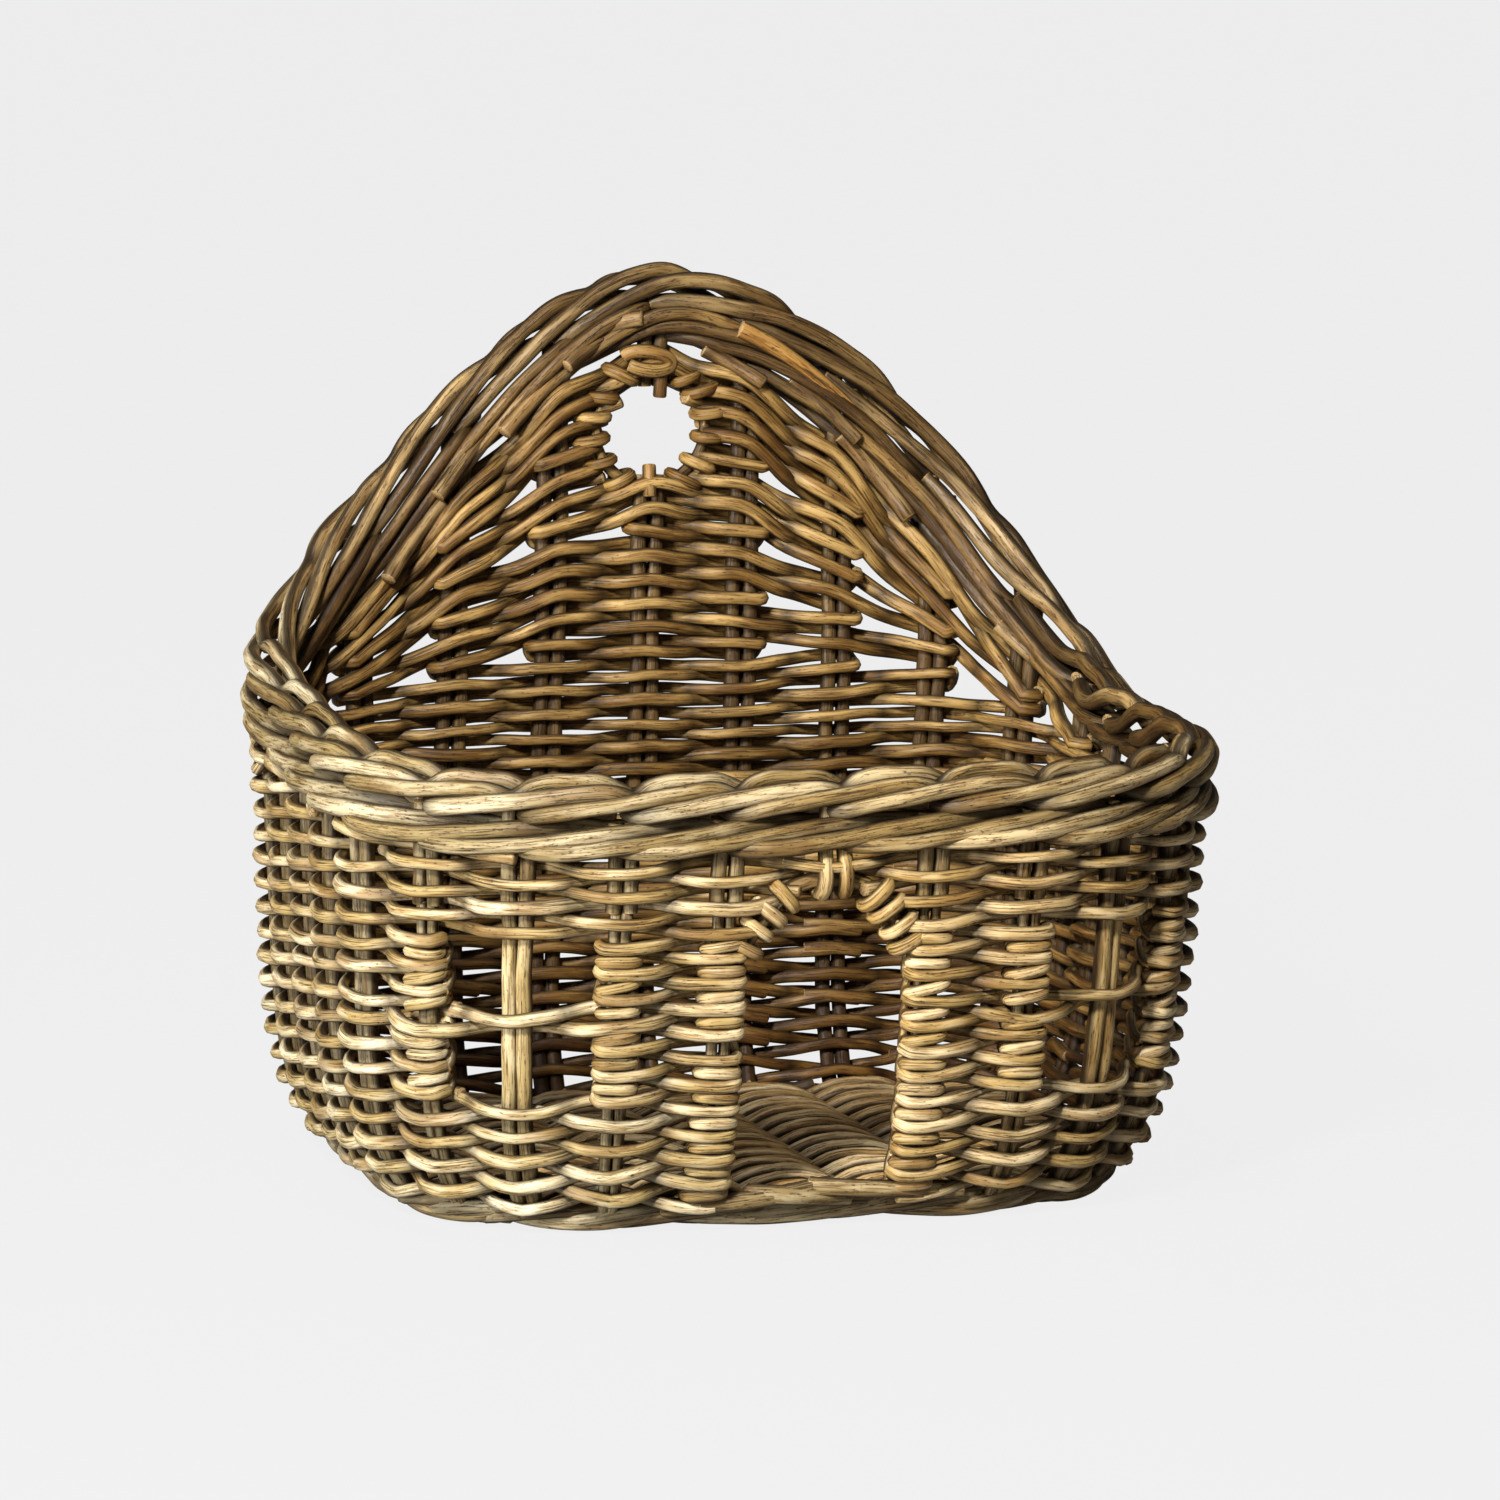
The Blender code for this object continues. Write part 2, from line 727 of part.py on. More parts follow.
def floor_span(x):
    """Front and back edge of the floor at a place across it, at the foot of its ribs."""
    points = [floor_point(along, rib_height - rib_radius) for along in all_columns]
    crossings = [between(near.y, far.y, (x - near.x) / (far.x - near.x))
                 for near, far in zip(points, points[1:] + points[:1])
                 if min(near.x, far.x) <= x < max(near.x, far.x)]
    return min(crossings), max(crossings)


def rib_rod(x, front, back, radius, waist_share):
    """A pair of rib canes from front to back."""
    shape = bmesh.new()
    bmesh.ops.create_cone(shape, cap_ends=True, segments=pair_sides, radius1=1, radius2=1, depth=2)
    for vert in shape.verts:
        across, out, end = vert.co
        if abs(across) > 0.9:
            place = (math.copysign(rib_radius + radius, across), 0.0)
        elif abs(across) < 0.1:
            place = (0.0, math.copysign(radius * waist_share, out))
        else:
            place = (math.copysign(rib_radius + radius * stake_flank_share, across),
                     math.copysign(radius, out))
        y = back if end > 0 else front
        vert.co = Vector((x + place[0], y, rib_height + place[1])) - origin
    face_out(shape)
    return shape


def woven_floor(ribs):
    """Closed slab inside the base border, whose rows swell over one rib pair and under the next."""
    shape = bmesh.new()
    rim = bmesh.ops.create_circle(shape, cap_ends=True, segments=len(all_columns), radius=1)["verts"]
    for vert, along in zip(rim, all_columns):
        vert.co = (along, rib_height - floor_rib_reach, 0.0)
    raised = bmesh.ops.extrude_face_region(shape, geom=shape.faces[:])["geom"]
    for item in raised:
        if isinstance(item, bmesh.types.BMVert):
            item.co.y = rib_height + floor_rib_reach
    for vert in shape.verts:
        vert.co = floor_point(vert.co.x, vert.co.y)
    front = min(vert.co.y for vert in shape.verts)
    back = max(vert.co.y for vert in shape.verts)
    rows = round((back - front) / floor_row_pitch)
    halves = [ribs[0] + stake_spacing * (half / 2) for half in range(-1, 2 * len(ribs))]
    cuts = [((x, 0, 0), (1, 0, 0)) for x in halves]
    cuts += [((0, between(front, back, row / rows), 0), (0, 1, 0)) for row in range(1, rows)]
    for place, facing in cuts:
        bmesh.ops.bisect_plane(shape, geom=shape.verts[:] + shape.edges[:] + shape.faces[:],
                               plane_co=place, plane_no=facing)
    bmesh.ops.remove_doubles(shape, verts=shape.verts[:], dist=merge_distance)
    face_out(shape)
    shape.normal_update()
    level = {face for face in shape.faces if abs(face.normal.z) > math.cos(smooth_angle / 2)}
    edge = {vert for face in shape.faces if face not in level for vert in face.verts}
    bmesh.ops.triangulate(shape, faces=shape.faces[:])
    for vert in set(shape.verts) - edge:
        face = 1 if vert.co.z > rib_height else -1
        half = round(2 * (vert.co.x - ribs[0]) / stake_spacing)
        row = round((vert.co.y - front) / (back - front) * rows)
        near_edge = min(abs(vert.co.y - end) for end in floor_span(vert.co.x)) < floor_row_pitch / 2
        reach = floor_rib_reach
        if half % 2:
            reach = floor_crossing_reach
        elif (half // 2 + row) % 2 == (0 if face > 0 else 1) and not near_edge:
            reach = floor_thickness / 2
        vert.co.z = rib_height + face * reach
    for vert in shape.verts:
        vert.co -= origin
    return shape


def add_floor():
    """The woven floor inside the base border, with rib pairs running through it."""
    middle = floor_rib_pairs // 2
    ribs = [(number - middle) * stake_spacing + drift_at(rib_height) for number in range(floor_rib_pairs)]
    tools = []
    for number, x in enumerate(ribs, start=1):
        spans = [floor_span(x + side * 2 * rib_radius) for side in (-1, 1)]
        front = max(span[0] for span in spans)
        back = min(span[1] for span in spans)
        channel = rib_rod(x, front - overrun, back + overrun, rib_radius + gap, 1.0)
        tools.append(add_cutter(channel, f"rib_channel_{number}"))
        rib = rib_rod(x, front, back, rib_radius, stake_waist_share)
        add_part(f"floor_rib_{number}", mesh_from(rib, "rib"), floor_finish)
    add_part("floor_weave", cut_mesh(mesh_from(woven_floor(ribs), "floor_weave"), tools), floor_finish)


add_base_border()
add_weave()
add_rim()
add_stakes()
add_door_wrap()
add_hole_wraps()
add_window_bars()
add_floor()
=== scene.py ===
"""Looks of a rattan basket woven like a small house: each cane of its walls, rim, openings and floor.

Canes are laid out flat first, as (along, up, out): along the wall from the middle of its front, up
from the table, and out from the middle of the wall. lay_on_wall() bends them round the basket. Stake
pairs are numbered from the middle of the front, to the right round the back, so 14 is the middle of
the back and 27 is the left post of the doorway. Lengths are in metres.
"""

import math
import random

import bmesh
import bpy
import numpy as np
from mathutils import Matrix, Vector


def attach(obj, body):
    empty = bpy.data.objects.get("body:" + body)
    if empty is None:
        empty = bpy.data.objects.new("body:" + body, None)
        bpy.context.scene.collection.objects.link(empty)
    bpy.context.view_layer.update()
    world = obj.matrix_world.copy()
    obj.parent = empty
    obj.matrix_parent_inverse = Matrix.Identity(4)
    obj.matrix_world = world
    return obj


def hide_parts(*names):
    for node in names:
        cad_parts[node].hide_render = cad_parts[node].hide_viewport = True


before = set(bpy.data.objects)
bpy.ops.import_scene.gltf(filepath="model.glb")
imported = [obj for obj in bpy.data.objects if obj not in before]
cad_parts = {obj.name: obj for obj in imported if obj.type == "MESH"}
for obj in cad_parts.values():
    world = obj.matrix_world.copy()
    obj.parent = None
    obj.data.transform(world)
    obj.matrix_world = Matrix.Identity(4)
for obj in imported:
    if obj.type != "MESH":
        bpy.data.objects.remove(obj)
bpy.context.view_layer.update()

# The wall's middle surface: its plan at the rim, its lean, its foot and its drift aside
half_width = 0.186
depth = 0.333
front_corner_radius = 0.117
back_corner_radius = 0.087
stake_pairs = 28
wall_lean = 0.012
foot_turn_in = 0.028
foot_round_height = 0.129
foot_round_power = 5.0
foot_drift = -0.004
arch_drift = 0.010
rim_centre = 0.186
arch_centre = 0.369

# Share of the rise from the front rim to the top of the arch at stakes 0 to 14
left_rise_shares = (0, 0, 0, 0, 0.01, 0.04, 0.06, 0.08, 0.11, 0.165, 0.26, 0.46, 0.72, 0.915, 1)
right_rise_shares = (0, 0, 0, 0, 0, 0, 0.005, 0.01, 0.02, 0.085, 0.26, 0.54, 0.78, 0.935, 1)

# The border's reach at the columns beside each stake pair, which gives the middle of the plan
border_half_width = 0.0115
column_reach = 0.0110

# Canes, the bumps along them and their cut ends
stake_radius = 0.0036
post_radius = 0.0026
weaver_radius = 0.0029
cane_step = 0.0035
stake_step = 0.006
bump_share = 0.06
long_bump = 0.011
short_bump = 0.0047
end_reach = 0.0008
end_edge = 0.0007
end_share = 0.9
pattern_reach = 40
thin_sides = 8
thick_sides = 10

# Rows of the wall, numbered up from the foot: the first beside the windows, the two that cross them,
# and the first above the windows, above the doorway and of the arch
row_pitch = 0.0053
first_row = 0.0148
sill_row = 9
bar_rows = (15, 16)
lintel_row = 22
door_top_row = 27
full_rows = 28

# Stake pairs beside the openings
door_posts = (1, 27)
window_posts = (2, 26, 4, 24)
mullions = (3, 25)

# How a weaver bends round the stakes, and how much it dips before one, most at the foot
swing_sharpness = 1.3
least_dip = 0.0013
foot_dip = 0.0025
dip_rows = 18

# Heights, and drops below the middle of the rolled border
stake_foot = 0.008
post_top = 0.145
upper_pair_foot = 0.140
window_low = 0.056
window_high = 0.134
arch_foot = 0.161
stake_top_drop = 0.004
wale_drop = 0.0155
arch_top_drop = 0.0262

# Hanging hole
hole_up = 0.305
hole_radius = 0.0187
hole_rim = 0.0060

# Floor
floor_up = 0.0090
floor_lift = 0.0052
floor_pitch = 0.0047
floor_radius = 0.0025
rib_radius = 0.0029
rib_front = -0.128
rib_back = 0.116
rib_taper = 0.004

# Where the basket has weathered: its left, and its foot; inside, the foot is also given painted shade
left_start = 0.02
left_width = 0.17
left_share = 0.75
low_start = 0.13
low_height = 0.12
low_share = 0.45

millimetre = 0.001
merge_distance = 1e-5

# Worked out from the sizes above
front_flat = half_width - front_corner_radius
front_arc = front_corner_radius * math.pi / 2
side_flat = depth - front_corner_radius - back_corner_radius
back_arc = back_corner_radius * math.pi / 2
back_flat = half_width - back_corner_radius
wall_length = 2 * (front_flat + front_arc + side_flat + back_arc + back_flat)
spacing = wall_length / stake_pairs
back = stake_pairs // 2
pair_half = 2 * stake_radius
post_half = 2 * post_radius
swing_reach = stake_radius + weaver_radius
rise_shares = np.array(right_rise_shares + left_rise_shares[-2:0:-1])


def plan_at(run):
    """Points and outward angles on the right half of the plan."""
    ends = np.cumsum([front_flat, front_arc, side_flat, back_arc])
    front_turn = (run - ends[0]) / front_corner_radius
    back_turn = (run - ends[2]) / back_corner_radius
    where = [run < ends[0], run < ends[1], run < ends[2], run < ends[3]]
    x = np.select(where, [run, front_flat + front_corner_radius * np.sin(front_turn),
                          half_width + 0 * run,
                          half_width - back_corner_radius * (1 - np.cos(back_turn))],
                  back_flat + ends[3] - run)
    y = np.select(where, [0 * run, front_corner_radius * (1 - np.cos(front_turn)),
                          front_corner_radius + run - ends[1],
                          depth - back_corner_radius * (1 - np.sin(back_turn))], depth)
    angle = np.select(where, [0 * run, front_turn, np.pi / 2 + 0 * run, np.pi / 2 + back_turn], np.pi)
    return x, y, angle


def wall_points(along, up, out):
    """Flat places bent round the wall, with the direction that the wall faces at each."""
    turn = (along + wall_length / 2) % wall_length - wall_length / 2
    side = np.where(turn < 0, -1.0, 1.0)
    x, y, angle = plan_at(np.abs(turn))
    foot = np.clip(1 - up / foot_round_height, 0, None)
    outward = out - wall_lean * (1 - up / rim_centre) - foot_turn_in * foot ** foot_round_power
    drift = np.where(up < foot_round_height, foot_drift * foot,
                     arch_drift * (up - foot_round_height) / (arch_centre - foot_round_height))
    points = np.stack([side * (x + outward * np.sin(angle)) + drift, y - outward * np.cos(angle), up],
                      axis=1)
    facing = np.stack([side * np.sin(angle), -np.cos(angle), 0 * up], axis=1)
    return points, facing


def rim_height(along):
    """Height of the rolled border's middle, smooth through its rise at each stake."""
    stakes = np.asarray(along) / spacing
    first = np.floor(stakes).astype(int)
    a, b, c, d = (rise_shares[(first + step) % stake_pairs] for step in (-1, 0, 1, 2))
    t = stakes - first
    share = b + t / 2 * (c - a + t * (2 * a - 5 * b + 4 * c - d + t * (3 * (b - c) + d - a)))
    return rim_centre + (arch_centre - rim_centre) * share


def rim_slope(along):
    step = spacing / 4
    return (rim_height(along + step) - rim_height(along - step)) / (2 * step)


def below_rim(along, distance):
    slope = rim_slope(along)
    return rim_height(along) - distance * np.sqrt(1 + slope * slope)


def find_origin():
    """The middle of the border's reach in the plan."""
    stops = np.array([stake * spacing + side * column_reach
                      for stake in range(stake_pairs) for side in (-1, 1)])
    rim, _ = wall_points(stops, rim_height(stops), np.full(len(stops), border_half_width))
    x_middle, y_middle = ((rim[:, axis].min() + rim[:, axis].max()) / 2 for axis in (0, 1))
    return np.array([x_middle, y_middle, 0.0])


origin = find_origin()


def lay_on_wall(along, up, out):
    points, facing = wall_points(along, up, out)
    return points - origin, facing


def unit(vector):
    return vector / np.linalg.norm(vector)


def sway(chance, along, size, length):
    """A hand's small unevenness along a cane."""
    waves = ((0.6, 1.0), (0.3, 0.43), (0.2, 0.21))
    return size * sum(part * np.sin(2 * np.pi * along / (length * share) + chance.uniform(0, 2 * np.pi))
                      for part, share in waves)


def smooth_through(stops, values):
    """A smooth curve through values at the stops, straight beyond them."""
    stops, values = np.array(stops, dtype=float), np.array(values, dtype=float)
    slopes = np.gradient(values, stops)

    def curve(places):
        inside = np.clip(places, stops[0], stops[-1])
        first = np.clip(np.searchsorted(stops, inside, side="right") - 1, 0, len(stops) - 2)
        width = stops[first + 1] - stops[first]
        t = (inside - stops[first]) / width
        rest = 1 - t
        leave, arrive = slopes[first] * width, slopes[first + 1] * width
        tail = np.where(places < inside, slopes[0], slopes[-1]) * (places - inside)
        return (values[first] * (1 + 2 * t) * rest ** 2 + leave * t * rest ** 2
                + values[first + 1] * t * t * (3 - 2 * t) - arrive * t * t * rest + tail)
    return curve


def link(item):
    bpy.context.scene.collection.objects.link(item)
    return item


class Canes:
    """Canes gathered for one piece, each a line of points with a radius.

    bare says how open a place on a cane is, from 0 deep between other canes to 1 where it lies open; the
    finishes paint the less open places darker, as painted shade. It is 2 on the cut ends.
    """

    def __init__(self, seed):
        self.chance = random.Random(seed)
        self.lines = []

    def lay(self, along, up, out, radius, bare=1.0, tint=None):
        """A cane laid on the wall in flat coordinates."""
        along, up, out = (np.asarray(values, dtype=float) for values in (along, up, out))
        points, facing = lay_on_wall(along, up + 0 * along, out + 0 * along)
        self.run(points, facing, radius, bare, tint)

    def run(self, points, facing, radius, bare=1.0, tint=None):
        """A cane through points, with cut ends."""
        chance = self.chance
        steps = np.linalg.norm(np.diff(points, axis=0), axis=1)
        apart = np.concatenate([[True], steps > merge_distance])
        thick, bare = (np.broadcast_to(np.asarray(values, dtype=float), apart.shape)[apart].copy()
                       for values in (radius, bare))
        points, facing = points[apart], facing[apart]
        if len(points) < 3:
            return
        lengths = np.concatenate([[0], np.cumsum(np.linalg.norm(np.diff(points, axis=0), axis=1))])
        thick *= 1 + bump_share * (0.6 * np.sin(lengths / long_bump + chance.uniform(0, 6))
                                   + 0.4 * np.sin(lengths / short_bump + chance.uniform(0, 6)))
        start, end = unit(points[0] - points[1]), unit(points[-1] - points[-2])
        points = np.concatenate([[points[0] + start * end_reach, points[0] + start * end_edge], points,
                                 [points[-1] + end * end_edge, points[-1] + end * end_reach]])
        facing = np.concatenate([facing[:1], facing[:1], facing, facing[-1:], facing[-1:]])
        bare = np.concatenate([[2, 2], bare, [2, 2]])
        thick = np.concatenate([[0, end_share * thick[0]], thick, [end_share * thick[-1], 0]])
        lengths = np.concatenate([[-end_reach, -end_edge], lengths,
                                  [lengths[-1] + end_edge, lengths[-1] + end_reach]])
        tint = chance.random() if tint is None else tint
        self.lines.append((points, facing, thick, lengths + chance.uniform(0, pattern_reach), bare, tint))

    def piece(self, name, finish, sides=thin_sides):
        """All the canes as one closed mesh, with each point's place on its cane kept as attributes."""
        line = bpy.data.curves.new(name, "CURVE")
        line.dimensions = "3D"
        line.bevel_depth = 1.0
        line.bevel_resolution = (sides - 4) // 2
        line.twist_mode = "MINIMUM"
        for points, _, thick, *_ in self.lines:
            spline = line.splines.new("POLY")
            spline.points.add(len(points) - 1)
            spline.points.foreach_set("co", np.hstack([points, np.ones((len(points), 1))]).ravel())
            spline.points.foreach_set("radius", thick)
        guide = link(bpy.data.objects.new(name, line))
        bpy.context.view_layer.update()
        ready = guide.evaluated_get(bpy.context.evaluated_depsgraph_get())
        mesh = bpy.data.meshes.new_from_object(ready)
        bpy.data.objects.remove(guide)
        bpy.data.curves.remove(line)
        self.mark(mesh, sides)
        close_ends(mesh, np.repeat(np.concatenate([thick == 0 for _, _, thick, *_ in self.lines]), sides))
        face_out(mesh)
        mesh.name = name
        mesh.materials.clear()
        mesh.materials.append(finish)
        mesh.shade_smooth()
        return link(bpy.data.objects.new(name, mesh))

    def mark(self, mesh, sides):
        """Writes what the finishes read: a point's place on its straightened cane, its side, weathering
        and painted shade.
        """
        *columns, tints = zip(*self.lines)
        counts = [len(points) for points in columns[0]]
        numbers = np.repeat(np.arange(len(self.lines)), counts)
        runs = np.concatenate([np.gradient(points, axis=0) for points in columns[0]])
        middles, facing, thick, lengths, bare = (np.concatenate(values) for values in columns)
        runs /= np.linalg.norm(runs, axis=1)[:, None]
        front = facing - (facing * runs).sum(axis=1)[:, None] * runs
        front /= np.maximum(np.linalg.norm(front, axis=1), 1e-9)[:, None]
        across = np.cross(runs, front)

        def ring(values):
            """A value of each point along the canes, for all the corners round it."""
            return np.repeat(values, sides, axis=0)

        away = read(mesh.vertices, "co", 3) - ring(middles)
        outwards = (away * ring(front)).sum(axis=1)
        sideways = (away * ring(across)).sum(axis=1)
        reach = np.maximum(ring(thick), merge_distance)
        aged_left = np.clip((left_start - middles[:, 0]) / left_width, 0, 1)
        low_wear_and_shade = np.clip((low_start - middles[:, 2]) / low_height, 0, 1)
        worn_outside = np.clip(left_share * aged_left + low_share * low_wear_and_shade, 0, 1)
        # Outside faces weathered on the left and at the foot; inside faces with painted shade towards the
        # foot.
        weather_and_shade = np.where(outwards > 0, ring(worn_outside), ring(low_wear_and_shade))
        spot = np.stack([ring(lengths), outwards, sideways], axis=1)
        side = np.stack([outwards / reach, sideways / reach, weather_and_shade], axis=1)
        for label, kind, values in (("cane_place", "FLOAT_VECTOR", spot),
                                    ("cane_side", "FLOAT_VECTOR", side),
                                    ("cane_tint", "FLOAT", ring(np.repeat(tints, counts))),
                                    ("cane_bare", "FLOAT", ring(bare)),
                                    ("cane_number", "INT", ring(numbers))):
            store = mesh.attributes.new(label, kind, "POINT")
            store.data.foreach_set("vector" if kind == "FLOAT_VECTOR" else "value", values.ravel())


def read(items, label, width=1, kind=float):
    """A property of all the points, corners or faces of a mesh."""
    values = np.empty(len(items) * width, dtype=kind)
    items.foreach_get(label, values)
    return values.reshape(-1, width) if width > 1 else values


def close_ends(mesh, tips):
    """Merges the rings of no width that end each cane, then turns the faces outwards."""
    shape = bmesh.new()
    shape.from_mesh(mesh)
    shape.verts.ensure_lookup_table()
    bmesh.ops.remove_doubles(shape, verts=[shape.verts[i] for i in np.flatnonzero(tips)],
                             dist=merge_distance)
    bmesh.ops.recalc_face_normals(shape, faces=shape.faces[:])
    shape.to_mesh(mesh)
    shape.free()


def face_out(mesh):
    """Turns back any cane that came out inside out."""
    numbers = read(mesh.attributes["cane_number"].data, "value", kind=np.int32)
    corners = read(mesh.loops, "vertex_index", kind=np.int32)
    owner = numbers[corners[read(mesh.polygons, "loop_start", kind=np.int32)]]
    normals, centres = read(mesh.polygons, "normal", 3), read(mesh.polygons, "center", 3)
    flux = (normals * centres).sum(axis=1) * read(mesh.polygons, "area")
    wrong = np.bincount(owner, weights=flux) < 0
    if wrong.any():
        shape = bmesh.new()
        shape.from_mesh(mesh)
        shape.faces.ensure_lookup_table()
        bmesh.ops.reverse_faces(shape, faces=[shape.faces[i] for i in np.flatnonzero(wrong[owner])])
        shape.to_mesh(mesh)
        shape.free()
    mesh.attributes.remove(mesh.attributes["cane_number"])


# Finishes

class Wire:
    """A shader value that can be used in sums."""

    def __init__(self, finish, socket):
        self.finish = finish
        self.socket = socket

    def sum_with(self, operation, first, second):
        return self.finish.add("ShaderNodeMath", {"operation": operation}, {0: first, 1: second})

    def __add__(self, other):
        return self.sum_with("ADD", self, other)

    def __sub__(self, other):
        return self.sum_with("SUBTRACT", self, other)

    def __mul__(self, other):
        return self.sum_with("MULTIPLY", self, other)

    def __radd__(self, other):
        return self.sum_with("ADD", other, self)

    def __rsub__(self, other):
        return self.sum_with("SUBTRACT", other, self)

    def __rmul__(self, other):
        return self.sum_with("MULTIPLY", other, self)

    def between(self, low, high):
        """0 at low, 1 at high and smooth from one to the other."""
        return self.finish.add("ShaderNodeMapRange", {"interpolation_type": "SMOOTHSTEP"},
                               {"Value": self, "From Min": low, "From Max": high})


class Finish:
    """A material and the nodes that make it."""

    def __init__(self, name):
        self.material = bpy.data.materials.new(name)
        self.material.use_nodes = True
        self.tree = self.material.node_tree
        self.tree.nodes.clear()

    def add(self, kind, settings=None, values=None, out=0):
        node = self.tree.nodes.new(kind)
        for key, value in (settings or {}).items():
            setattr(node, key, value)
        for key, value in (values or {}).items():
            if isinstance(value, Wire):
                self.tree.links.new(value.socket, node.inputs[key])
            else:
                node.inputs[key].default_value = value
        return Wire(self, node.outputs[out])

    def attribute(self, label, out):
        return self.add("ShaderNodeAttribute", {"attribute_name": label}, None, out)

    def parts(self, vector):
        """The three parts of a vector."""
        node = self.add("ShaderNodeSeparateXYZ", None, {0: vector}).socket.node
        return [Wire(self, output) for output in node.outputs]

    def grain(self, spot, along, across, detail, roughness=0.55):
        """Noise drawn out along a cane, with its number of waves to a metre along and across it."""
        stretched = self.add("ShaderNodeVectorMath", {"operation": "MULTIPLY"},
                             {0: spot, 1: (along, across, across)})
        return self.add("ShaderNodeTexNoise", {"noise_dimensions": "3D"},
                        {"Vector": stretched, "Scale": 1.0, "Detail": detail, "Roughness": roughness})

    def blend(self, share, first, second, way="MIX"):
        first, second = ((*c, 1) if isinstance(c, tuple) else c for c in (first, second))
        return self.add("ShaderNodeMix", {"data_type": "RGBA", "blend_type": way},
                        {0: share, 6: first, 7: second}, 2)

    def end(self, shader):
        output = self.tree.nodes.new("ShaderNodeOutputMaterial")
        self.tree.links.new(shader.socket, output.inputs["Surface"])
        return self.material


def cane_finish(name, outside, outside_pale, inside, inside_pale, roughness=0.42, size=1.0, specks=0.63,
                wear=1.0):
    """Natural cane: streaks and flecks along it, its weathered side, and painted shade where canes meet
    and pass behind each other.

    It has a colour and a paler one for each side of the wall; the inside ones are browner, and darker as
    painted shade. size is how large its patches are, specks how few its flecks are, and wear how far
    weathering has greyed it.
    """
    # A near-black brown, for dark cracks and flecks in the cane and for painted shade.
    dirt_and_shade = (0.014, 0.0075, 0.0028)
    greyed, low_shade_colour, browned = (0.94, 1.08, 1.38), (0.46, 0.35, 0.22), (0.40, 0.27, 0.13)
    end_pale, end_dark = (0.44, 0.28, 0.115), (0.10, 0.055, 0.02)
    finish = Finish(name)
    spot = finish.attribute("cane_place", 1)
    tint = finish.attribute("cane_tint", 2)
    bare = finish.attribute("cane_bare", 2)
    outward, sideways, weather_and_shade = finish.parts(finish.attribute("cane_side", 1))
    mottle = finish.grain(spot, 38.0 / size, 240.0 / size, 2.0)
    streak = finish.grain(spot, 75.0, 1150.0, 3.0, 0.62)
    crack = finish.grain(spot, 36.0, 1900.0, 1.0, 0.5)
    fleck = finish.grain(spot, 480.0, 1500.0, 1.0)
    blotch = finish.grain(spot, 22.0 / size, 140.0 / size, 1.0)
    facing = outward.between(-0.30, 0.30)
    # Inside faces take the inside colours: browner cane, and darker as painted shade.
    body = finish.blend(facing, inside, outside)
    light = finish.blend(facing, inside_pale, outside_pale)
    body = finish.blend((tint - 0.5) * 0.9 + mottle.between(0.38, 0.66) * 0.75, body, light)
    grey = finish.blend(1.0, body, greyed, "MULTIPLY")
    body = finish.blend(weather_and_shade * wear * outward.between(-0.2, 0.5), body, grey)
    # Painted shade on inside faces towards the foot.
    low_shade = finish.blend(1.0, body, low_shade_colour, "MULTIPLY")
    body = finish.blend(weather_and_shade * outward.between(0.1, -0.4), body, low_shade)
    aged = finish.blend(1.0, body, browned, "MULTIPLY")
    body = finish.blend(streak.between(0.50, 0.60) * 0.70, body, aged)
    body = finish.blend(blotch.between(0.54, 0.64) * 0.60, body, aged)
    lines = crack.between(0.57, 0.64) * mottle.between(0.62, 0.42)
    spots = fleck.between(specks, specks + 0.06) * streak.between(0.40, 0.58)
    body = finish.blend(lines * 0.75 + spots * 0.7, body, dirt_and_shade)
    # Painted shade on the two sides of each cane where it meets its neighbours, and where it is less bare.
    groove_shade = (sideways * sideways).between(0.36, 1.0) * 0.92
    body = finish.blend(groove_shade, body, dirt_and_shade)
    body = finish.blend((1.0 - bare) * 0.95, body, dirt_and_shade)
    end_grain = finish.blend(fleck.between(0.50, 0.62) * 0.7, end_pale, end_dark)
    body = finish.blend(bare.between(1.3, 1.8), body, end_grain)
    height = streak * 0.6 + mottle * 0.4 - lines * 0.7 - spots * 0.4
    bump = finish.add("ShaderNodeBump", None, {"Strength": 0.8, "Distance": 0.0004, "Height": height})
    shader = finish.add("ShaderNodeBsdfPrincipled", None,
                        {"Base Color": body, "Roughness": roughness + streak * 0.25 - tint * 0.08,
                         "Normal": bump, "Specular IOR Level": 0.35})
    return finish.end(shader)


# The inside colours of each finish are browner cane, and darker as painted shade.
weave_finish = cane_finish("weaving_cane", (0.50, 0.315, 0.098), (0.88, 0.66, 0.345),
                           (0.21, 0.108, 0.022), (0.52, 0.325, 0.105))
stake_finish = cane_finish("stake_cane", (0.44, 0.280, 0.088), (0.74, 0.540, 0.250),
                           (0.18, 0.095, 0.022), (0.38, 0.230, 0.072))
border_finish = cane_finish("border_cane", (0.36, 0.232, 0.076), (0.78, 0.600, 0.320),
                            (0.140, 0.076, 0.020), (0.49, 0.325, 0.132),
                            roughness=0.36, size=1.5, specks=0.60)
wale_finish = cane_finish("wale_cane", (0.34, 0.218, 0.070), (0.74, 0.560, 0.290),
                          (0.12, 0.063, 0.016), (0.34, 0.202, 0.062),
                          roughness=0.40, size=1.3, specks=0.58)
foot_finish = cane_finish("foot_cane", (0.30, 0.188, 0.062), (0.66, 0.490, 0.235),
                          (0.14, 0.076, 0.020), (0.34, 0.200, 0.070),
                          roughness=0.45, size=1.3, specks=0.60)
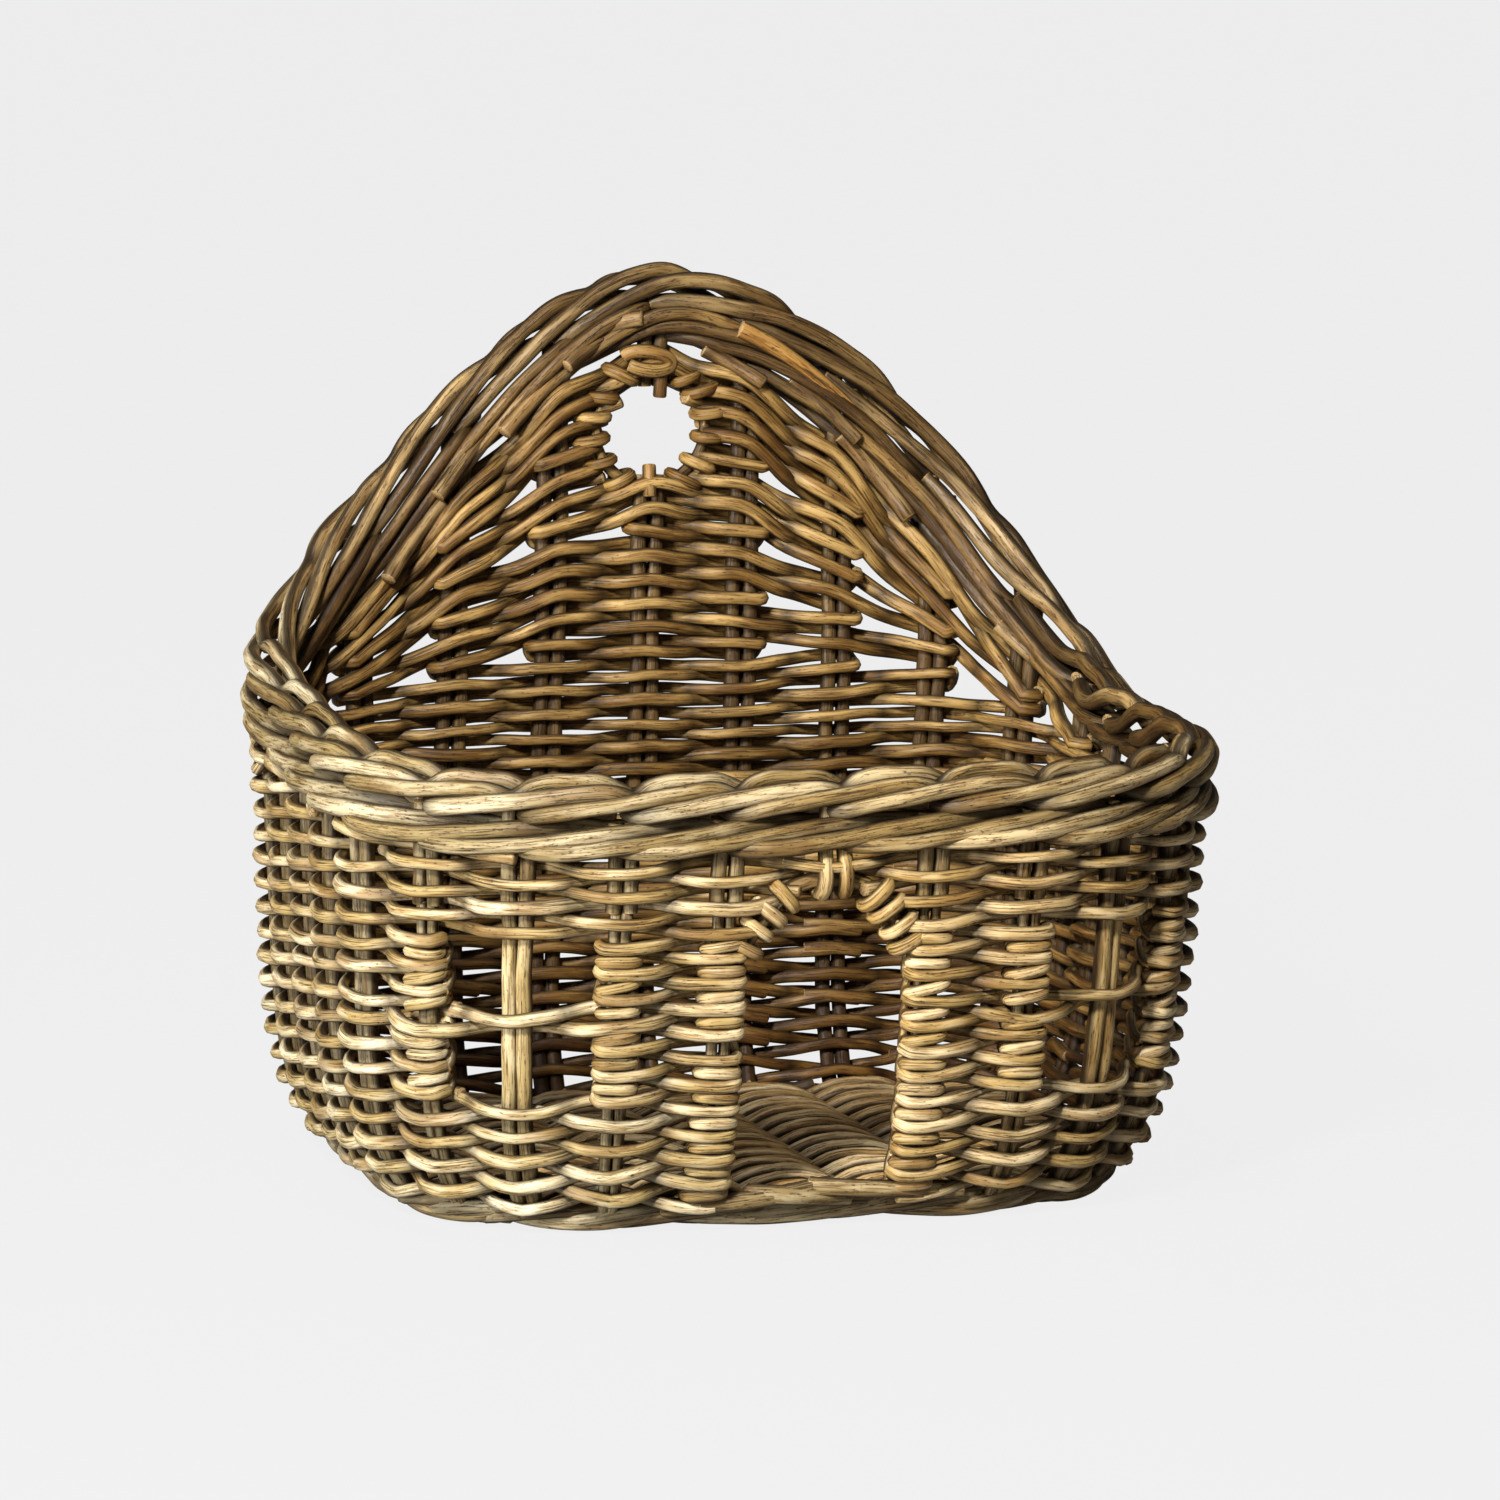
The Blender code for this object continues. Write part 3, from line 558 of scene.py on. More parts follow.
# The floor canes are paler cane, and partly painted light that makes up for the shade under the rim.
floor_finish = cane_finish("floor_cane", (0.60, 0.365, 0.125), (1.00, 0.770, 0.420),
                           (0.26, 0.135, 0.035), (0.55, 0.345, 0.120), specks=0.60, wear=0.1)
fresh_finish = cane_finish("fresh_cane", (0.46, 0.230, 0.050), (0.60, 0.335, 0.092),
                           (0.42, 0.205, 0.042), (0.56, 0.310, 0.082), roughness=0.5, size=1.5)


# Wall rows

def swing(turns):
    """How far a weaver stands in front of the stakes, from 1 before one to -1 behind the next."""
    return np.sin(swing_sharpness * np.cos(np.pi * turns)) / math.sin(swing_sharpness)


def zigzag(turns):
    """Like swing, but with straight runs between sharp corners."""
    return 0.3 * swing(turns) + 0.7 * (1 - 2 * np.abs((turns + 1) % 2 - 1))


def squared(wave, power):
    """A sine or cosine with flatter tops, for a cane that turns round a pair."""
    return np.sign(wave) * np.abs(wave) ** power


def row_up(row):
    return first_row + row_pitch * row


def steps_between(start, end):
    return np.linspace(start, end, max(3, int((end - start) / cane_step)))


def round_post(edge, way, out, up_from, up_to):
    """The quarter turn of a weaver round the free side of a post."""
    angles = np.linspace(0, np.pi / 2, 7)[1:]
    return (edge + way * weaver_radius * np.sin(angles),
            up_from + (up_to - up_from) * np.sin(angles) ** 2,
            out * np.cos(angles), np.ones(len(angles)))


def add_row(canes, row, start, end, rise, turns=(0, 0), half=post_half, seen=1, thick=weaver_radius):
    """One weaver from stake to stake. turns gives how far up or down its ends meet the next row.

    seen is the side of the wall where those turns are kept level, 1 outside and -1 inside.
    """
    chance = canes.chance
    low = start * spacing - (half if turns[0] else 0)
    high = end * spacing + (half if turns[1] else 0)
    along = steps_between(low, high)
    out = swing_reach * swing(along / spacing + row + 1)
    # Less bare where the weaver passes close to a stake, which the finish paints darker as painted shade.
    bare = np.minimum(1, 0.20 + 1.35 * np.abs(out / swing_reach))
    out += sway(chance, along, size=0.0004, length=0.06)
    from_turn = np.minimum(along - low if turns[0] else 1, high - along if turns[1] else 1)
    up = rise(along) + sway(chance, along, size=0.0009, length=0.13) * np.clip(from_turn / 0.03, 0, 1)
    for number, way in ((0, -1), (-1, 1)):
        if not turns[number]:
            continue
        share = 0.08 if out[number] * seen > 0 else 0.92
        turn = round_post(along[number], way, out[number], up[number], up[number] + turns[number] * share)
        pairs = [(old, new[::way]) for old, new in zip((along, up, out, bare), turn)]
        along, up, out, bare = (np.concatenate(pair[::way]) for pair in pairs)
    canes.lay(along, up, out, thick * chance.uniform(0.86, 1.12), bare)


def joined_row(canes, row, start, end, rise, turns=(0, 0)):
    """A long row, made of canes that meet behind a stake, where their cut ends show inside."""
    chance = canes.chance
    past_stake, settled, least_run = 0.28, 0.8, 3
    here = start
    while True:
        stop = math.ceil(here + chance.choice((6, 8, 10, 12)))
        stop += (stop + row + 1) % 2 == 0
        first, last = here == start, stop > end - least_run
        stop = end if last else stop
        lean = chance.uniform(0.8, 1.4) * millimetre
        low, low_lean = (here, 0) if first else (here - past_stake, -lean)
        high, high_lean = (stop, 0) if last else (stop + past_stake, lean)

        def rise_here(along):
            near_low = np.clip(1 - (along / spacing - low) / settled, 0, 1)
            near_high = np.clip(1 - (high - along / spacing) / settled, 0, 1)
            return rise(along) + low_lean * near_low + high_lean * near_high
        add_row(canes, row, low, high, rise_here, (turns[0] if first else 0, turns[1] if last else 0))
        if last:
            return
        here = stop


def dip(row, along):
    """The zigzag of a row, down where it passes in front of a stake and up behind one."""
    depth_here = least_dip + foot_dip * max(0.0, 1 - row / dip_rows)
    return depth_here * zigzag(along / spacing + row + 1)


def meet(row, stake, step=1):
    """How far off the row is that a row's end pairs with round a post."""
    partner = row + 1 if (row + step) % 2 else row - 1
    along = stake * spacing
    return (partner - row) * row_pitch + float(dip(row, along) - dip(partner, along))


def level(row):
    """A wall row at its height."""
    def rise(along):
        return np.minimum(row_up(row), below_rim(along, arch_top_drop)) - dip(row, along)
    return rise


def bar_rise(row):
    """The two rows that cross the windows sink a little there."""
    stops = (-27, -24.2, -23.5, -22, 1, 2, 3, 4, 5.5, 22.5, 24, 25, 26, 27)
    sinks = (0, 0, 0, 0, 0, -0.004, -0.0035, 0.001, 0, 0, -0.006, -0.0045, -0.001, 0)

    def rise(along):
        return level(row)(along) + np.interp(along / spacing, stops, sinks)
    return rise


def door_arch_at(up):
    """Half width of the doorway's arch at a height."""
    return float(np.interp(up, (0.118, 0.1265, 0.150), (0.0385, 0.0350, 0.0125)))


def make_wall_rows():
    """The rows from the foot to the arch, open at the doorway and the windows."""
    canes = Canes(11)
    for row in range(full_rows):
        door_turns = (meet(row, 1), meet(row, 27))
        if row == 0:
            joined_row(canes, row, 0.9, 27.1, level(row))
        elif row < sill_row:
            joined_row(canes, row, 1, 27, level(row), door_turns)
        elif row in bar_rows:
            joined_row(canes, row, 1, 27, bar_rise(row), door_turns)
        elif row < lintel_row:
            joined_row(canes, row, 4, 24, level(row), (meet(row, 4, 0), meet(row, 24, 0)))
            add_row(canes, row, 1, 2, level(row), (meet(row, 1), meet(row, 2, 0)))
            add_row(canes, row, 26, 27, level(row), (meet(row, 26, 0), meet(row, 27)))
        elif row < door_top_row:
            reach = (door_arch_at(row_up(row)) - millimetre) / spacing
            joined_row(canes, row, reach, stake_pairs - reach, level(row))
        else:
            joined_row(canes, row, -0.45, 27.55, level(row))
    return canes


def make_wraps():
    """Short turns of cane between the rows on the posts of the doorway and the windows."""
    canes = Canes(12)
    missing = (27, 13)
    for stake in door_posts + window_posts:
        first = 1 if stake in door_posts else sill_row
        for row in range(first, lintel_row):
            if row % 2 == stake % 2 and (stake, row) != missing:
                up = row_up(row) - float(dip(row + 1, stake * spacing)) * 0.6
                add_wrap(canes, stake * spacing, up, canes.chance.uniform(-0.0008, 0.0014))
    return canes


def add_wrap(canes, along, up, tilt):
    """One turn round a pair of stakes, its ends out of sight behind them."""
    pitch = 0.0012
    angles = np.linspace(-1.35 * np.pi, 0.35 * np.pi, 30)
    wide = (post_half + weaver_radius - 0.0006) * squared(np.cos(angles), 0.55)
    deep = -(swing_reach - 0.0002) * squared(np.sin(angles), 0.8)
    climb = tilt * wide / pair_half + pitch * angles / np.pi
    canes.lay(along + wide, up + climb, deep, weaver_radius * canes.chance.uniform(0.86, 1.06))


# Arch rows

# How many rows of the arch there are at each stake; even, for rows end in pairs
rows_at = {8: 2, 9: 4, 10: 8, 11: 16, 12: 26, 13: 34, 14: 34, 15: 32, 16: 26, 17: 18, 18: 12, 19: 8,
           20: 4, 21: 2, 22: 2}

# Where rows of the arch end in pairs, as shares of the way up through the rows at a stake
row_end_shares = {10: (0.40, 0.70), 11: (0.25, 0.43, 0.60, 0.80), 12: (0.25, 0.40, 0.52, 0.63, 0.76),
                  13: (0.25, 0.40, 0.55, 0.74), 14: (0.55,), 15: (0.28, 0.58, 0.76),
                  16: (0.30, 0.46, 0.62, 0.80), 17: (0.35, 0.58, 0.82)}


def arch_ranks(stake, count):
    """Heights of the arch's rows at a stake: level ones below, and parallel to the rim above."""
    slope = float(rim_slope(stake * spacing))
    height = float(below_rim(stake * spacing, arch_top_drop)) - arch_foot
    share = np.linspace(0, 1, 200)
    room = np.cumsum(np.sqrt(1 + (slope * share ** 2) ** 2))
    return arch_foot + height * np.interp((np.arange(count) + 0.5) / count, room / room[-1], share)


def choose_ends():
    """The rows of the arch at each stake. Those that end there do so in pairs that turn round it."""
    rows = {back: list(range(rows_at[back]))}
    for way in (-1, 1):
        stake = back
        while stake + way in rows_at:
            current = rows[stake]
            pairs = (len(current) - rows_at[stake + way]) // 2
            shares = row_end_shares.get(stake, ())
            if len(shares) != pairs:
                shares = [(number + 0.5) / pairs for number in range(pairs)]
            gone = set()
            for share in shares:
                first = min(int(share * len(current)), len(current) - 2)
                while {first, first + 1} & gone:
                    first -= 1
                gone |= {first, first + 1}
            stake += way
            rows[stake] = [row for number, row in enumerate(current) if number not in gone]
    return rows


def settle_early(stops, heights):
    """Adds stops that let a row move over soon after the stake where its neighbours end."""
    places, values = [stops[0]], [heights[0]]
    for number, stake in enumerate(stops[:-1]):
        ahead, share = (0.42, 0.49) if stake >= back else (0.58, 0.51)
        step = heights[number + 1] - heights[number]
        places += [stake + ahead, stops[number + 1]]
        values += [heights[number] + step * share, heights[number + 1]]
    return places, values


def make_arch_rows():
    """The rows of the arch, which end in pairs as it narrows, and a last one under each shoulder."""
    canes = Canes(21)
    rows = choose_ends()
    stakes = sorted(rows)
    ranks = {stake: arch_ranks(stake, len(rows[stake])) for stake in stakes}

    def height(row, stake):
        return ranks[stake][rows[stake].index(row)]

    def turn_at(row, stake, beyond):
        """How far off the row is that a row's end pairs with, or 0 where the arch itself ends."""
        if beyond not in rows:
            return 0
        ended = [other for other in rows[stake] if other not in rows[beyond]]
        partner = ended[ended.index(row) ^ 1]
        return height(partner, stake) - height(row, stake) + float(dip(full_rows, (stake + row) * spacing))

    for row in rows[back]:
        stops = [stake for stake in stakes if row in rows[stake]]
        curve = smooth_through(*settle_early(stops, [height(row, stake) for stake in stops]))
        turns = [turn_at(row, stops[0], stops[0] - 1), turn_at(row, stops[-1], stops[-1] + 1)]

        def rise(along):
            return curve(along / spacing) - 0.5 * dip(full_rows, along + row * spacing)
        split_at_hole(canes, full_rows + row, stops, rise, turns)

    def under_wale(along):
        return np.maximum(row_up(full_rows), below_rim(along, arch_top_drop))
    for start, end in ((21.9, 25), (3, 6.1)):
        add_row(canes, full_rows, start, end, under_wale)
    return canes


def split_at_hole(canes, row, stops, rise, turns):
    """A row of the arch, thicker towards the top, stopped on either side of the hanging hole."""
    plain_rows, thicker_rows, thicker_share = 10, 24, 0.14
    off = float(rise(np.array([wall_length / 2]))[0]) - hole_up
    keep = hole_radius + hole_rim
    half = pair_half - millimetre
    thick = weaver_radius * (1 + thicker_share * max(0, row - full_rows - plain_rows) / thicker_rows)
    if abs(off) >= keep - 0.002:
        add_row(canes, row, stops[0], stops[-1], rise, turns, half, -1, thick)
        return
    reach = math.sqrt(keep * keep - off * off) / spacing
    add_row(canes, row, stops[0], back - reach, rise, (turns[0], 0), half, -1, thick)
    add_row(canes, row, back + reach, stops[-1], rise, (0, turns[1]), half, -1, thick)


# Stakes

def add_pair(canes, stake, low, high, radius=stake_radius, bend=0.0008):
    """Two upright canes side by side, with painted shade except where a window leaves them bare."""
    for side in (-1, 1):
        foot = stake * spacing + side * radius * 1.01
        up = np.arange(low, high(foot) if callable(high) else high, stake_step)
        along = foot + sway(canes.chance, up, bend, length=0.15)
        in_window = (window_low < up) & (up < window_high) & (stake in mullions)
        canes.lay(along, up, sway(canes.chance, up, size=0.0004, length=0.1),
                  radius * canes.chance.uniform(0.94, 1.02), np.where(in_window, 1.0, 0.45))


def make_stakes():
    """The stake pairs, thinner beside the openings, and the short pair over the doorway."""
    canes = Canes(31)

    def top(along):
        return float(below_rim(along, stake_top_drop))

    for stake in range(1, stake_pairs):
        if stake == back:
            add_pair(canes, stake, stake_foot, hole_up - hole_radius + millimetre)
            add_pair(canes, stake, hole_up + hole_radius + millimetre, top)
        elif stake in door_posts + window_posts:
            add_pair(canes, stake, stake_foot, post_top, post_radius, bend=0.0004)
            add_pair(canes, stake, upper_pair_foot, top)
        else:
            add_pair(canes, stake, stake_foot, top)
    up = np.array([0.181, 0.172, 0.165, 0.160, 0.156, 0.152, 0.148, 0.1455, 0.1450, 0.147])
    out = np.array([0, 0, 0.001, 0.0035, 0.0062, 0.0075, 0.0066, 0.0035, -0.0005, -0.004])
    for side in (-1, 1):
        along = side * stake_radius + millimetre + np.linspace(0, side * 0.0015, len(up))
        canes.lay(along, up, out, radius=0.0034)
    return canes


# Door arch and hanging hole

def make_door_arch():
    """The cane over the doorway, flat on top and straight down each side, with thick turns round it."""
    canes = Canes(41)
    chance = canes.chance
    core_radius, turn_radius, turn_depth = 0.0034, 0.0030, 0.0062
    turns, first_turn, turn_step = 4, 1.6, 0.95
    right = np.array([[0.0395, 0.112], [0.0375, 0.1190], [0.0335, 0.1262], [0.0280, 0.1340],
                      [0.0220, 0.1418], [0.0155, 0.1478], [0.0080, 0.1502]])
    whole = np.concatenate([right * (-1, 1), [[0.0, 0.1508]], right[::-1]])
    last = len(whole) - 1

    def point(at):
        return np.array([np.interp(at, np.arange(len(whole)), column) for column in whole.T])

    fine = np.linspace(0, last, 60)
    # The core is painted partly in shade, where the turns cover it.
    canes.lay(*point(fine), 0 * fine, core_radius, 0.6)
    for side in (-1, 1):
        for number in range(turns):
            spot = first_turn + number * turn_step + chance.uniform(-0.08, 0.08)
            spot, step = (spot, 0.3) if side < 0 else (last - spot, -0.3)
            middle = point(spot)
            ahead = unit(point(spot + step) - middle)
            angles = np.linspace(-1.3 * np.pi, 0.35 * np.pi, 24)
            reach = chance.uniform(0.0050, 0.0068)
            drift = chance.uniform(-0.0006, 0.0018) * angles / np.pi
            across = reach * squared(np.cos(angles), 0.7)
            canes.lay(middle[0] - side * ahead[1] * across + ahead[0] * drift,
                      middle[1] + side * ahead[0] * across + ahead[1] * drift,
                      -turn_depth * np.sin(angles), turn_radius * chance.uniform(0.9, 1.1))
    return canes


def make_hole_coils():
    """Ends of the rows turned round the hanging hole's edge, one above another on either side."""
    canes = Canes(42)
    chance = canes.chance
    middle = wall_length / 2
    core, core_radius = hole_radius + 0.0064, 0.0026
    coils, coil_step, coil_radius, coil_depth, coil_pitch = 6, 0.40, 0.0028, 0.0062, 0.0008
    for way in (-1, 1):
        ring = np.linspace(-1.2, 1.2, 26)
        # The core is painted partly in shade, where the coils cover it.
        canes.lay(middle + way * core * np.cos(ring), hole_up + core * np.sin(ring), 0 * ring,
                  core_radius, 0.5)
        for number in range(coils):
            around = (number - (coils - 1) / 2) * coil_step + chance.uniform(-0.04, 0.04)
            tilt = 0.45 * around + chance.uniform(-0.12, 0.12)
            angles = np.linspace(0, 2.15 * np.pi, 26) - 0.55 * np.pi
            reach = chance.uniform(0.0050, 0.0068)
            across = reach * squared(np.cos(angles), 0.75)
            centre = hole_radius + core_radius + reach
            drift = coil_pitch * angles / np.pi
            canes.lay(middle + way * (centre * math.cos(around) + across * math.cos(tilt)),
                      hole_up + centre * math.sin(around) + across * math.sin(tilt) + drift,
                      -coil_depth * np.sin(angles), coil_radius * chance.uniform(0.88, 1.15))
    add_hole_ends(canes, middle)
    return canes


def add_hole_ends(canes, middle):
    """The cut ends of the middle stakes over and under the hole, and the loop above it."""
    up = hole_up + hole_radius + np.array([0.013, 0.010, 0.005, 0.000, -0.0035])
    canes.lay(middle - 0.0030 + 0 * up, up, (-0.0066, -0.0068, -0.0060, -0.0050, -0.0045), radius=0.0030)
    up = hole_up - hole_radius - np.array([0.010, 0.005, 0.001, -0.0025])
    canes.lay(middle + 0.0010 + 0 * up, up, (-0.0066, -0.0060, -0.0048, -0.0040), radius=0.0031)
    turns = np.linspace(0.1 * np.pi, 1.75 * np.pi, 26)
    loop_width, loop_height, loop_tilt = 0.011, 0.0042, 0.12
    canes.lay(middle + 0.004 + loop_width * np.cos(turns),
              hole_up + hole_radius + 0.0125 + loop_height * np.sin(turns)
              + loop_tilt * loop_width * np.cos(turns),
              -0.0088 + 0.0014 * np.cos(turns * 2), radius=0.0033)


# Rim

def rim_place(along, below, across, out):
    """Flat places at a distance below the rim's middle line and across it, square to the line."""
    slope = rim_slope(along)
    size = np.sqrt(1 + slope * slope)
    rise = across - below
    return along - slope / size * rise, rim_height(along) + rise / size, out


# Paths of a cane in the rim. Each stop gives the stakes passed, how high and how far out the cane is there
# in millimetres, and how bare it lies, which sets its painted shade
front_roll = np.array([(-0.04, -5.6, -4, 0.1), (0.04, -6.4, 1.5, 0.1), (0.12, -6.0, 5, 0.3),
                       (0.28, -4.6, 7, 0.9), (0.60, -2.2, 7.4, 1), (1.04, 0.8, 6.9, 1),
                       (1.35, 2.7, 5.9, 1), (1.60, 3.9, 4.8, 1), (1.76, 4, 3.8, 0.9),
                       (1.89, 2.8, 2.6, 0.5), (2.00, 1.2, 0.9, 0.1), (2.08, 2.6, -0.6, 0.2),
                       (2.16, 5.2, -1.6, 0.7), (2.27, 6.9, -2.5, 1), (2.60, 7.4, -4.3, 1),
                       (2.86, 6.6, -5.9, 0.8), (2.98, 4.2, -7, 0.5), (3.20, -0.5, -7.4, 0.6),
                       (3.60, -4.4, -6.8, 0.6), (3.90, -6, -4, 0.4)])
arch_roll = np.array([(-0.04, -5.6, -4, 0.1), (0.04, -6.4, 1.5, 0.1), (0.10, -5.8, 5, 0.3),
                      (0.20, -4.2, 7, 0.9), (0.45, -1.8, 7.6, 1), (0.80, 1.2, 7, 1),
                      (1.00, 2.8, 6.1, 1), (1.18, 4.2, 5, 1), (1.32, 4.9, 3.9, 0.9),
                      (1.42, 4.4, 2.8, 0.6), (1.50, 3.6, 1.5, 0.2), (1.57, 3.6, 0.5, 0.2),
                      (1.66, 5, -1, 0.6), (1.80, 6.8, -2.6, 1), (2.15, 6.6, -4.6, 1),
                      (2.60, 4, -7, 1), (2.85, 1.8, -8, 0.9), (3.10, -0.6, -8.4, 0.8),
                      (3.60, -4.6, -7.4, 0.7), (4.10, -7.2, -4, 0.4)])
front_wale = np.array([(-0.10, -3.6, -5, 0.2), (0, -4.2, 0.4, 0.3), (0.08, -4.7, 5, 0.5),
                       (0.22, -5, 7.9, 0.9), (0.50, -4.7, 9.2, 1), (0.90, -2.8, 8.8, 1),
                       (1.40, 0.2, 7, 1), (1.90, 3, 5, 0.8), (2.20, 4.4, 3, 0.4),
                       (2.45, 4.6, -0.5, 0.2), (2.80, 4.2, -5, 0.5), (3.20, 3.6, -5.8, 0.4)])
arch_wale = np.array([(-0.10, 5.2, 5, 0.6), (0, 5.8, -0.4, 0.3), (0.08, 6, -5, 0.5),
                      (0.24, 5.8, -8, 0.9), (0.60, 4.8, -9.2, 1), (1.20, 1.4, -8.4, 1),
                      (1.80, -2.2, -6.8, 1), (2.30, -5, -4.8, 0.6), (2.70, -6.4, -0.5, 0.3),
                      (3.10, -6.2, 5, 0.6), (3.60, -5.4, 5.8, 0.6)])


def add_rim_cane(canes, path, start, below, radius):
    """A cane of the rim along one of the paths."""
    chance = canes.chance
    stakes, ups, outs, bares = path.T
    hook_end = stakes[0] + 0.4
    t = np.unique(np.concatenate([np.linspace(stakes[0], hook_end, 14),
                                  np.linspace(hook_end, stakes[-1], 84)]))
    across = smooth_through(stakes, ups)(t) * millimetre
    out = smooth_through(stakes, outs)(t) * millimetre
    along = (start + t) * spacing
    taper = np.interp(np.minimum(t - t[0], t[-1] - t), (0, 0.12), (0.85, 1))
    rise = chance.uniform(0.94, 1.06) * across + sway(chance, along, size=0.0004, length=0.12)
    canes.lay(*rim_place(along, below, rise, chance.uniform(0.95, 1.05) * out), radius * taper,
              np.interp(t, stakes, bares))


def make_border():
    """The rolled border: each pair of stakes turned down and wound once round the rim."""
    canes = Canes(51)
    chance = canes.chance
    radius = 0.0037
    for stake in range(stake_pairs):
        share = float(np.interp(stake + 2, (8, 10, 18, 20), (0, 1, 1, 0)))
        path = (1 - share) * front_roll + share * arch_roll
        add_rim_cane(canes, path, stake + chance.uniform(-0.10, 0.10), 0.0,
                     radius * chance.uniform(0.92, 1.08))
    return canes


def make_wale():
    """Thick canes under the border, each outside two stakes, then inside one; inside first on the arch."""
    canes = Canes(52)
    chance = canes.chance
    for stake in range(stake_pairs):
        on_arch = 9 < stake + 1.5 < 19
        path, radius = (arch_wale, 0.0031) if on_arch else (front_wale, 0.0036)
        add_rim_cane(canes, path, stake + chance.uniform(-0.08, 0.08), wale_drop,
                     radius * chance.uniform(0.94, 1.10))
    return canes


def make_cut_ends():
    """Ends of canes that stand out of the arch on the inside, where new ones were set in."""
    canes = Canes(54)
    chance = canes.chance
    for at, below, way, length in ((14.25, 0.0105, -1, 0.026), (15.15, 0.0150, 1, 0.030),
                                   (15.9, 0.0190, 1, 0.034), (16.55, 0.0160, 1, 0.030),
                                   (12.6, 0.0240, -1, 0.030), (17.2, 0.0230, 1, 0.028),
                                   (11.6, 0.0170, -1, 0.032), (10.9, 0.0220, -1, 0.034),
                                   (9.9, 0.0150, 1, 0.030)):
        t = np.linspace(0, 1, 12)
        along = at * spacing - way * length * (1 - t)
        out = -0.0050 - 0.0075 * t ** 1.5
        canes.lay(*rim_place(along, below, -0.0020 * t, out), 0.0036 * chance.uniform(0.9, 1.08))
    return canes


def make_fresh_cane():
    """One thick cane of a warmer colour, set in under the arch's border on the right."""
    canes = Canes(55)
    t = np.linspace(0, 1, 20)
    along = (13.05 - 1.35 * t) * spacing
    out = -0.0118 + 0.0050 * t ** 2
    canes.lay(*rim_place(along, 0.0095 + 0.0010 * t, 0 * t, out), radius=0.0042 * (1 - 0.35 * t), tint=0.5)
    return canes


def make_base_border():
    """Thick canes laid round each other at the foot, and those that fill the doorway's sill."""
    canes = Canes(53)
    chance = canes.chance
    twist_radius, bow_radius, sill_radius = 0.0032, 0.0036, 0.0040
    for stake in range(stake_pairs):
        t = np.linspace(0, 1.05, 44)
        angle = 2 * np.pi * t + chance.uniform(-0.15, 0.15) - np.pi / 2
        along = (stake + chance.uniform(-0.1, 0.1) + 3.4 * t) * spacing
        taper = np.interp(t, (0, 0.08, 0.9, 1.05), (0.8, 1, 1, 0.75))
        # Painted shade along the twisted canes, which lie among the others.
        canes.lay(along, 0.0074 + 0.0030 * np.sin(angle), 0.0046 * np.cos(angle) - 0.0024,
                  twist_radius * taper, 0.6)
    for stake in np.arange(0, stake_pairs, 2):
        t = np.linspace(0, 1, 36)
        bow = np.sin(np.pi * t)
        along = (stake + 0.3 + chance.uniform(-0.1, 0.1) + 2.6 * t) * spacing
        # Painted shade at the ends of each bow, where it goes under.
        canes.lay(along, 0.0118 - 0.0074 * bow ** 0.8, 0.0064 * bow ** 0.6 - 0.0042, bow_radius,
                  0.3 + 0.7 * bow)
    for start, end, low, high in ((-1.35, 0.25, 0.0108, 0.0182), (0.05, 1.55, 0.0180, 0.0128),
                                  (-0.55, 0.45, 0.0162, 0.0120)):
        t = np.linspace(0, 1, 24)
        out = 0.0052 * np.sin(np.pi * np.clip(t * 1.1, 0, 1)) ** 0.6
        canes.lay((start + (end - start) * t) * spacing, low + (high - low) * t ** 1.3, out, sill_radius)
    return canes


# Floor

def make_floor():
    """Canes laid side to side over and under the ribs, two by two, with painted shade where they dip and
    towards the back.
    """
    canes = Canes(61)
    chance = canes.chance
    inset, front_room, back_room, aside = 0.0060, 0.006, 0.005, 0.0012
    stops = np.linspace(0, wall_length, 400)
    edge, _ = lay_on_wall(stops, np.full(len(stops), stake_foot), np.full(len(stops), -inset))
    rows = np.arange(edge[:, 1].min() + front_room, edge[:, 1].max() - back_room, floor_pitch)
    for number, y in enumerate(rows):
        ends = [edge[i, 0] for i in np.flatnonzero(np.diff(np.sign(edge[:, 1] - y)))]
        x = steps_between(min(ends), max(ends))
        wave = swing(x / spacing + origin[0] / spacing + number // 2)
        points = np.stack([x, y + aside * wave + sway(chance, x, size=0.0009, length=0.12),
                           floor_up + floor_lift * wave + sway(chance, x, size=0.0004, length=0.05)],
                          axis=1)
        far = (y - rows[0]) / (rows[-1] - rows[0])
        # Painted shade where the cane dips under a rib, and more towards the back.
        canes.run(points, np.tile([0.0, 0.0, 1.0], (len(x), 1)), floor_radius * chance.uniform(0.90, 1.10),
                  np.clip(0.55 + 0.60 * wave, 0.1, 1) * (1 - 0.45 * min(1, 1.2 * far)))
    return canes


def make_ribs():
    """The pairs of canes from front to back that the floor is woven on."""
    canes = Canes(62)
    steps = 30
    for number in range(-2, 3):
        for side in (-1, 1):
            taper = rib_taper * abs(number)
            y = np.linspace(rib_front + taper, rib_back - taper, steps)
            x = np.full(steps, number * spacing - origin[0] + side * rib_radius + foot_drift)
            points = np.stack([x, y, np.full(steps, floor_up)], axis=1)
            canes.run(points, np.tile([0.0, 0.0, 1.0], (steps, 1)), rib_radius)
    return canes


# Pieces

def place(piece, slot_name, *nodes):
    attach(piece, "root")
    if nodes:
        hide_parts(*nodes)


def each(*parts):
    return [f"{part}_{side}" for part in parts for side in ("left", "right")]


def numbered(last, *parts):
    return [f"{part}_{number}" for part in parts for number in range(1, last + 1)]


